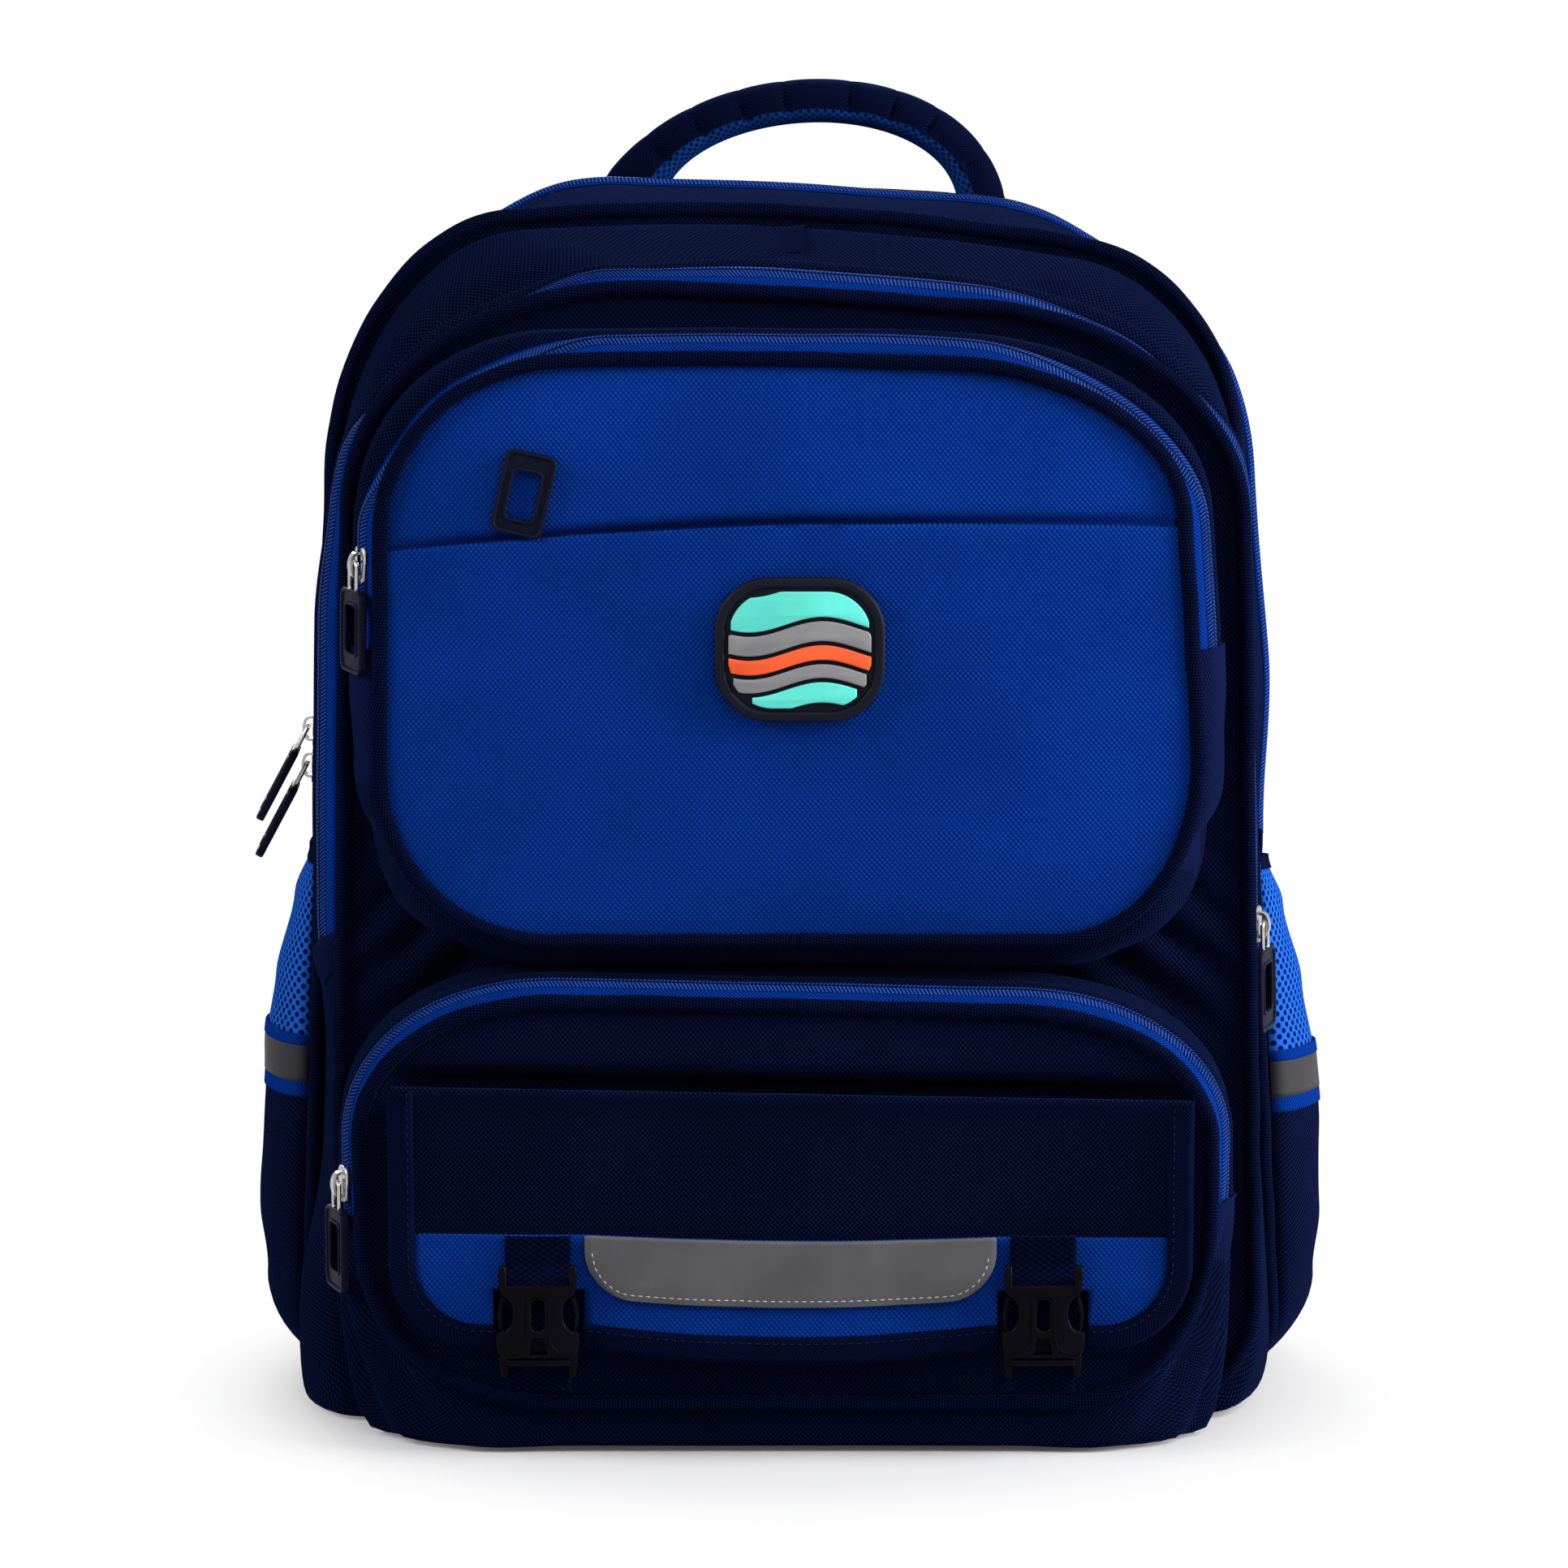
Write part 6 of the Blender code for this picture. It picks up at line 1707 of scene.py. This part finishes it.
waves = {"teal": (0.0085, 0.0200, patch_teal), "grey": (0.0005, 0.0070, patch_grey),
         "orange": (-0.0058, -0.0010, patch_orange), "low_grey": (-0.0118, -0.0073, patch_grey),
         "low_teal": (-0.0200, -0.0133, patch_teal)}
for label, (start, end, material) in waves.items():
    band = [(plate([wave_band(start, end)], 0.0016, 0.0005),
             patch_place @ Matrix.Translation((0.0, 0.0, 0.0018)))]
    settle(assemble("patch_" + label, band, material), "bag", "patch_rubber")
print("patch bands:", len(waves))

# %% [markdown]
# ## Side pockets
# A side pocket is sewn to the gusset along both edges and its foot, and stands off the bag between them.
# It is made of six strips, one over the other: navy cloth, a blue edge, a dark reflective band, a second
# blue edge, a net of blue mesh and a bound mouth. Each strip is laid on the main gusset's own surface and
# held off it, so the pocket follows the bag's side without any fitting.

# %% Strips of the side pockets
POCKET_FRONT_SHARE = 0.863
POCKET_REAR_SHARE = 0.137
POCKET_SEAT = 0.0016
POCKET_CLOTH = 0.0010
POCKET_COLUMNS = 44
LEFT_BAND_RISE = 0.005
POCKET_PROFILE = ((0.004, 0.0015), (0.030, 0.0122), (0.055, 0.0155), (0.085, 0.0158), (0.112, 0.0150),
                  (0.140, 0.0112), (0.170, 0.0066), (0.188, 0.0010))


def pocket_stand(z):
    """How far the pocket stands off the bag at a height, smoothed between a few measured heights."""
    knots = POCKET_PROFILE
    if z <= knots[0][0]:
        return knots[0][1]
    for (low, before), (high, after) in zip(knots, knots[1:]):
        if z <= high:
            share = (z - low) / (high - low)
            return before + (after - before) * share * share * (3.0 - 2.0 * share)
    return knots[-1][1]


def add_pocket_strip(name, side, low, high, material, slot, *nodes, lift=0.0, rows=4):
    """One strip of a side pocket, from one height to another."""

    def place(across, along):
        z = low + (high - low) * along
        share = POCKET_REAR_SHARE + (POCKET_FRONT_SHARE - POCKET_REAR_SHARE) * across
        bow = max(0.0, math.sin(math.pi * across)) ** 0.5
        station = main_seam.station(z, side)
        spot = main_band.spot(station, share)
        pucker = 0.0009 * ripple(spot, 0.025, 2.0) * bow
        stand = POCKET_SEAT + pocket_stand(z) * bow + pucker + lift * (0.2 + 0.8 * bow)
        spot += main_band.outward(station) * stand
        spot.z = max(spot.z, FLOOR_CLEAR + POCKET_CLOTH)
        return spot

    settle(lay(name, POCKET_COLUMNS, rows, place, material, thickness=POCKET_CLOTH), "bag", slot, *nodes)


for side, label in enumerate(hands):
    up = LEFT_BAND_RISE if label == "left" else 0.0
    add_pocket_strip("side_pocket_cloth_" + label, side, 0.0060, 0.0975 + up, navy_canvas, "navy_cloth",
                     "side_pocket_" + label, rows=40)
    add_pocket_strip("side_pocket_low_edge_" + label, side, 0.0955 + up, 0.1020 + up, zip_tape_weave,
                     "royal_cloth", lift=0.0007, rows=5)
    add_pocket_strip("side_pocket_band_" + label, side, 0.1010 + up, 0.1150 + up, side_film, "reflective",
                     lift=0.0009, rows=8)
    add_pocket_strip("side_pocket_high_edge_" + label, side, 0.1140 + up, 0.1180 + up, zip_tape_weave,
                     "royal_cloth", lift=0.0012)
    add_pocket_strip("side_pocket_net_" + label, side, 0.1165 + up, 0.1860, blue_mesh, "mesh_cloth",
                     rows=24)
    add_pocket_strip("side_pocket_mouth_" + label, side, 0.1835, 0.1885, binding_tape, "webbing",
                     lift=0.0008)
print("side pockets:", len(hands))

# %% [markdown]
# ## Carrying handle
# The handle is a thick padded loop: navy cloth over the top, blue air mesh underneath, gathered so that it
# creases across every centimetre or two. Its two faces are sheets wrapped round one bowed line. The feet are
# sewn in.

# %% Padded loop
HANDLE_DEPTH = 0.0230
HANDLE_THICKNESS = 0.0148
HANDLE_Y = 0.0470
HANDLE_LEFT = Vector((-0.0545, HANDLE_Y, 0.4080))
HANDLE_RIGHT = Vector((0.0668, HANDLE_Y, 0.4030))
LEFT_PULL = Vector((0.0190, 0.0, 0.0420))
RIGHT_PULL = Vector((-0.0060, 0.0, 0.0495))
CREASE_GAP = 0.0165
CREASE_WIDTH = 0.0016
HANDLE_STEPS = 300
handle_steps = interpolate_bezier(HANDLE_LEFT, HANDLE_LEFT + LEFT_PULL, HANDLE_RIGHT + RIGHT_PULL,
                                  HANDLE_RIGHT, HANDLE_STEPS + 1)
handle_lengths = run_lengths(handle_steps)


def handle_line(share):
    """The middle line of the loop, from its left foot to its right foot."""
    place = max(0.0, min(1.0, share)) * HANDLE_STEPS
    first = min(HANDLE_STEPS - 1, int(place))
    return handle_steps[first].lerp(handle_steps[first + 1], place - first)


def handle_spot(share, angle):
    """A point on the loop's skin; the angle runs from the inner side round the outer side."""
    middle = handle_line(share)
    ahead = (handle_line(min(1.0, share + 0.01)) - handle_line(max(0.0, share - 0.01))).normalized()
    out = Vector((-ahead.z, 0.0, ahead.x))
    run = handle_lengths[int(share * HANDLE_STEPS)]
    from_crease = (run + 0.006 * ripple(middle, 0.02) + CREASE_GAP / 2.0) % CREASE_GAP - CREASE_GAP / 2.0
    dent = math.exp(-abs(from_crease) / CREASE_WIDTH) * (1.0 if math.cos(angle) < 0.1 else 0.0)
    foot = 1.0 + (0.55 if share < 0.5 else 0.15) * abs(2.0 * share - 1.0) ** 5
    side = math.copysign(abs(math.sin(angle)) ** 0.75, math.sin(angle))
    up = math.copysign(abs(math.cos(angle)) ** 0.75, -math.cos(angle))
    thick = up * HANDLE_THICKNESS / 2.0 * (1.0 - 0.03 * dent) * foot
    deep = side * HANDLE_DEPTH / 2.0 * (1.0 - 0.22 * dent)
    return middle + out * thick + Vector((0.0, deep, 0.0))


INNER_FACE = math.radians(82.0)
FACE_LAP = 0.04


def outer_face(across, along):
    """The navy face: round the outer side of the loop."""
    return handle_spot(across, INNER_FACE + along * (2.0 * math.pi - 2.0 * INNER_FACE))


def inner_face(across, along):
    """The mesh face: round the inner side, lapped a little over the navy one."""
    half = INNER_FACE + FACE_LAP
    return handle_spot(across, half * (2.0 * along - 1.0))


def sew_feet(piece, slot, *nodes):
    """Fix a face of the loop in place and hide the solids it stands for."""
    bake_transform(piece)
    if nodes:
        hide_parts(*nodes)


handle_skin = lay("handle_cloth", HANDLE_STEPS, 26, outer_face, handle_canvas)
sew_feet(handle_skin, "navy_cloth", "carry_handle")
handle_net = lay("handle_net", 110, 12, inner_face, handle_mesh, facing=Vector((0.0, 0.0, -1.0)))
sew_feet(handle_net, "mesh_cloth")
print("handle top:", round(max(v.co.z for v in handle_skin.data.vertices), 4))

# %% [markdown]
# ## Back panel, pads and shoulder straps
# The back is a flat panel with two foam pads; the shoulder straps are foam in mesh cloth too. Foam in a
# sewn cover swells between its seams, which is what a cloth simulation with a little pressure inside does.
# Each pad starts as a thin closed shape, is remeshed to an even net, blown up for a few steps, and kept
# from moving further than a few millimetres. The right-hand pieces are the left-hand ones mirrored.

# %% Blow up a pad
PUFF_STEPS = 20
PUFF_PRESSURE = 4.0
COVER_STIFFNESS = 25.0
COVER_BENDING = 0.4


def puff(mesh, cell, most):
    """A pad's mesh after remeshing, blowing up as cloth and limiting how far points may move."""
    holder = bpy.data.objects.new("pad_block", mesh)
    bpy.context.scene.collection.objects.link(holder)
    remesh = holder.modifiers.new("even_net", "REMESH")
    remesh.mode = "VOXEL"
    remesh.voxel_size = cell
    view = bpy.context.evaluated_depsgraph_get()
    even = bpy.data.meshes.new_from_object(holder.evaluated_get(view))
    holder.modifiers.clear()
    holder.data = even
    before = [vertex.co.copy() for vertex in even.vertices]
    cloth = holder.modifiers.new("cover", "CLOTH")
    cloth.settings.use_pressure = True
    cloth.settings.uniform_pressure_force = PUFF_PRESSURE
    cloth.settings.effector_weights.gravity = 0.0
    cloth.settings.tension_stiffness = COVER_STIFFNESS
    cloth.settings.compression_stiffness = COVER_STIFFNESS
    cloth.settings.bending_stiffness = COVER_BENDING
    cloth.point_cache.frame_start = 1
    cloth.point_cache.frame_end = PUFF_STEPS
    for step in range(1, PUFF_STEPS + 1):
        bpy.context.scene.frame_set(step)
    view = bpy.context.evaluated_depsgraph_get()
    blown = bpy.data.meshes.new_from_object(holder.evaluated_get(view))
    for vertex, start in zip(blown.vertices, before):
        move = vertex.co - start
        if move.length > most:
            vertex.co = start + move * (most / move.length)
    bpy.context.scene.frame_set(1)
    bpy.data.objects.remove(holder)
    finer = bmesh.new()
    finer.from_mesh(blown)
    bmesh.ops.smooth_vert(finer, verts=finer.verts, factor=0.4, use_axis_x=True, use_axis_y=True,
                          use_axis_z=True)
    bmesh.ops.subdivide_edges(finer, edges=finer.edges, cuts=1, use_grid_fill=True, smooth=0.6)
    bmesh.ops.recalc_face_normals(finer, faces=finer.faces)
    uv_map = finer.loops.layers.uv.new("UVMap")
    for face in finer.faces:
        for loop in face.loops:
            loop[uv_map].uv = (loop.vert.co.x, loop.vert.co.z)
    finer.to_mesh(blown)
    finer.free()
    return blown


def mirrored(mesh):
    """The same mesh on the other side of the bag."""
    other = bmesh.new()
    other.from_mesh(mesh)
    bmesh.ops.scale(other, vec=Vector((-1.0, 1.0, 1.0)), verts=other.verts)
    bmesh.ops.reverse_faces(other, faces=other.faces)
    copy = bpy.data.meshes.new(mesh.name + "_mirrored")
    other.to_mesh(copy)
    other.free()
    return copy


print("steps of the cloth simulation:", PUFF_STEPS)

# %% [markdown]
# The back panel fills the rear seam. A pad's block is a rounded plate a little smaller than its solid,
# which leaves room for the swell.

# %% Back panel and pads
BACK_FACE = 0.0556
PAD_INSET = 0.003
PAD_CORNER = 0.028
PAD_BLOCK = 0.0100
PAD_STAND = 0.0058


def back_place(across, along):
    """A point of the back panel, which fills the rear seam with a slight wave."""
    height = rear_seam.foot + (rear_seam.top - rear_seam.foot) * crowded(along)
    left, right = rear_seam.reach(height, 0), rear_seam.reach(height, 1)
    point = rear_seam.lifted(Vector((-left + across * (left + right), height)))
    return Vector((point.x, BACK_FACE + 0.0006 * ripple(point, 0.05), point.z))


def add_covers(name, left_mesh, node):
    """A padded cover on each side of the back, the right one mirrored."""
    for label, mesh in (("left", left_mesh), ("right", mirrored(left_mesh))):
        cover = make_object(name + label, mesh, navy_mesh)
        settle(cover, "bag", "mesh_cloth", node + label)


back_sheet = lay("back_cloth", 60, 60, back_place, navy_mesh, facing=REAR, flat_map=True)
settle(back_sheet, "bag", "navy_cloth", "back_panel")

pad_low, pad_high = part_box("back_pad_left")
pad_middle = (pad_low + pad_high) / 2.0
pad_size = pad_high - pad_low
pad_outline = rounded_box(pad_size.x - 2.0 * PAD_INSET, pad_size.z - 2.0 * PAD_INSET, PAD_CORNER,
                          (pad_middle.x, pad_middle.z), 10)
pad_block = plate([pad_outline], PAD_BLOCK, 0.0030)
pad_block.transform(facing_front(Vector((0.0, pad_low.y + PAD_STAND, 0.0))))
pad_mesh = puff(pad_block, 0.0048, 0.0055)
add_covers("back_pad_cover_", pad_mesh, "back_pad_")
print("pad points:", len(pad_mesh.vertices))

# %% [markdown]
# A shoulder strap follows one bowed line from the top of the back to its ladder lock, and narrows on
# the way.

# %% Shoulder straps
STRAP_ROOT = Vector((-0.045, 0.0571, 0.382))
STRAP_TIP = Vector((-0.090, 0.0831, 0.1538))
STRAP_BOW = 0.044
STRAP_TIP_BOW = 0.0154
STRAP_RISE = 0.45 * (STRAP_ROOT.z - STRAP_TIP.z)
STRAP_STEPS = 60
STRAP_WIDTH = 0.060
STRAP_TIP_WIDTH = 0.033
strap_line = interpolate_bezier(STRAP_ROOT, STRAP_ROOT + Vector((0.0, STRAP_BOW, 0.0)),
                                STRAP_TIP + Vector((0.0, STRAP_TIP_BOW, STRAP_RISE)), STRAP_TIP,
                                STRAP_STEPS + 1)


def strap_skin(across, along):
    """A point on a shoulder strap: across runs round it, along runs down it."""
    place = along * STRAP_STEPS
    first = min(STRAP_STEPS - 1, int(place))
    middle = strap_line[first].lerp(strap_line[first + 1], place - first)
    ahead = (strap_line[first + 1] - strap_line[first]).normalized()
    side = Vector((1.0, 0.0, 0.0))
    side = (side - ahead * side.dot(ahead)).normalized()
    out = side.cross(ahead).normalized()
    half = (STRAP_WIDTH + (STRAP_TIP_WIDTH - STRAP_WIDTH) * along ** 2) / 2.0
    thick = (0.0050 + 0.0040 * min(1.0, 6.0 * min(along + 0.05, 1.02 - along))) / 2.0
    angle = 2.0 * math.pi * across
    wide = math.copysign(abs(math.cos(angle)) ** 0.6, math.cos(angle))
    deep = math.copysign(abs(math.sin(angle)) ** 0.8, math.sin(angle))
    return middle + side * (half * wide) + out * (thick * deep)


strap_block = lay("strap_block", 36, 60, strap_skin, navy_mesh)
closing = bmesh.new()
closing.from_mesh(strap_block.data)
bmesh.ops.holes_fill(closing, edges=[edge for edge in closing.edges if edge.is_boundary], sides=0)
bmesh.ops.recalc_face_normals(closing, faces=closing.faces)
strap_solid = bpy.data.meshes.new("strap_solid")
closing.to_mesh(strap_solid)
closing.free()
bpy.data.objects.remove(strap_block)
strap_mesh = puff(strap_solid, 0.0045, 0.0050)
add_covers("shoulder_strap_cover_", strap_mesh, "shoulder_strap_")
print("strap points:", len(strap_mesh.vertices))

# %% [markdown]
# Each strap ends in a ladder lock: a small plastic frame with bars. The lower webbing comes up from the
# bag's foot, goes over the lower bar from behind and hangs down as a free tail, so pulling it tightens
# the strap. It is one sheet laid along this route, because two flat lengths would show a gap at the bar.

# %% Ladder locks and lower webbings
LOCK_SIZE = (0.029, 0.023)
LOCK_THICKNESS = 0.0036
LOCK_BAR = 0.0040
LOCK_PLACE = Vector((-0.090, 0.0831, 0.142))
STRAP_FOOT = Vector((-0.126, 0.0578, 0.032))
TAIL_LENGTH = 0.070
TAIL_STEPS = 14
TURN_STEPS = 8
STRAP_WEBBING = 0.022
WEBBING_STAND = 0.0010


def lock_outlines():
    """The outlines of a ladder lock: its rounded edge and two slots between three bars."""
    slot = (LOCK_SIZE[1] - 3.0 * LOCK_BAR) / 2.0
    middle = LOCK_BAR / 2.0 + slot / 2.0
    outlines = [rounded_box(LOCK_SIZE[0], LOCK_SIZE[1], 0.0030)]
    for sign in (-1.0, 1.0):
        outlines.append(rounded_box(STRAP_WEBBING + 0.0012, slot, 0.0010, (0.0, sign * middle)))
    return outlines


def webbing_line():
    """The webbing's path on the left: up from the foot, round the lower bar and down as a tail."""
    near = LOCK_PLACE.y - LOCK_THICKNESS / 2.0 - WEBBING_STAND
    far = LOCK_PLACE.y + LOCK_THICKNESS / 2.0 + WEBBING_STAND
    bar = LOCK_PLACE.z - LOCK_SIZE[1] / 2.0
    below = Vector((LOCK_PLACE.x, near, bar))
    under = Vector((LOCK_PLACE.x, near, STRAP_FOOT.z))
    line = interpolate_bezier(STRAP_FOOT, STRAP_FOOT.lerp(below, 0.3), below.lerp(under, 0.4), below, 16)
    middle_y, half = (near + far) / 2.0, (far - near) / 2.0
    for i in range(TURN_STEPS + 1):
        angle = math.pi * i / TURN_STEPS
        line.append(Vector((LOCK_PLACE.x, middle_y - half * math.cos(angle),
                            bar + LOCK_BAR - 0.0012 + 0.0022 * math.sin(angle))))
    for i in range(1, TAIL_STEPS + 1):
        share = i / TAIL_STEPS
        sway = 0.00045 * math.sin(share * 2.6)
        line.append(Vector((LOCK_PLACE.x, far + sway, bar - TAIL_LENGTH * share)))
    return line


strap_route = webbing_line()


def strap_webbing_place(across, along):
    """A point of the left lower webbing: across its width, along its route."""
    place = along * (len(strap_route) - 1)
    first = min(len(strap_route) - 2, int(place))
    middle = strap_route[first].lerp(strap_route[first + 1], place - first)
    return middle + Vector(((across - 0.5) * STRAP_WEBBING, 0.0, 0.0))


left_webbing = lay("strap_webbing_band_left", 10, 84, strap_webbing_place, webbing_weave, 0.0012,
                   facing=FRONT)
right_webbing = make_object("strap_webbing_band_right", mirrored(left_webbing.data), webbing_weave)
lock_left = facing_front(LOCK_PLACE)
lock_right = Matrix.Translation((-2.0 * LOCK_PLACE.x, 0.0, 0.0)) @ lock_left
for label, band, place in (("left", left_webbing, lock_left), ("right", right_webbing, lock_right)):
    settle(band, "bag", "webbing", "strap_webbing_" + label)
    parts = [(plate(lock_outlines(), LOCK_THICKNESS, 0.0008), place)]
    lock = assemble("ladder_lock_frame_" + label, parts, buckle_plastic)
    settle(lock, "bag", "black_plastic", "ladder_lock_" + label)
print("webbing points:", len(strap_route))

# %% [markdown]
# ## Boards inside
# Two stiffener boards are hidden in the back and the base. Nothing of them shows, so they stay as the
# frame's own solids and take a grained sheet material.

# %% Boards
boards = ("back_board", "base_board")
for node in boards:
    board = frame["nodes"][node]
    board.data.materials.clear()
    board.data.materials.append(board_sheet)
print("boards that keep their solids:", len(boards))

# %% [markdown]
# ## Sizes
# The box of the solids alone and the box of the dressed bag are written down, to compare them.

# %% Sizes and finish
dressed_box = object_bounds()
for axis, letter in enumerate("xyz"):
    cad_span = cad_box[1][axis] - cad_box[0][axis]
    dressed_span = dressed_box[1][axis] - dressed_box[0][axis]
    print(letter, round(cad_span, 4), round(dressed_span, 4))
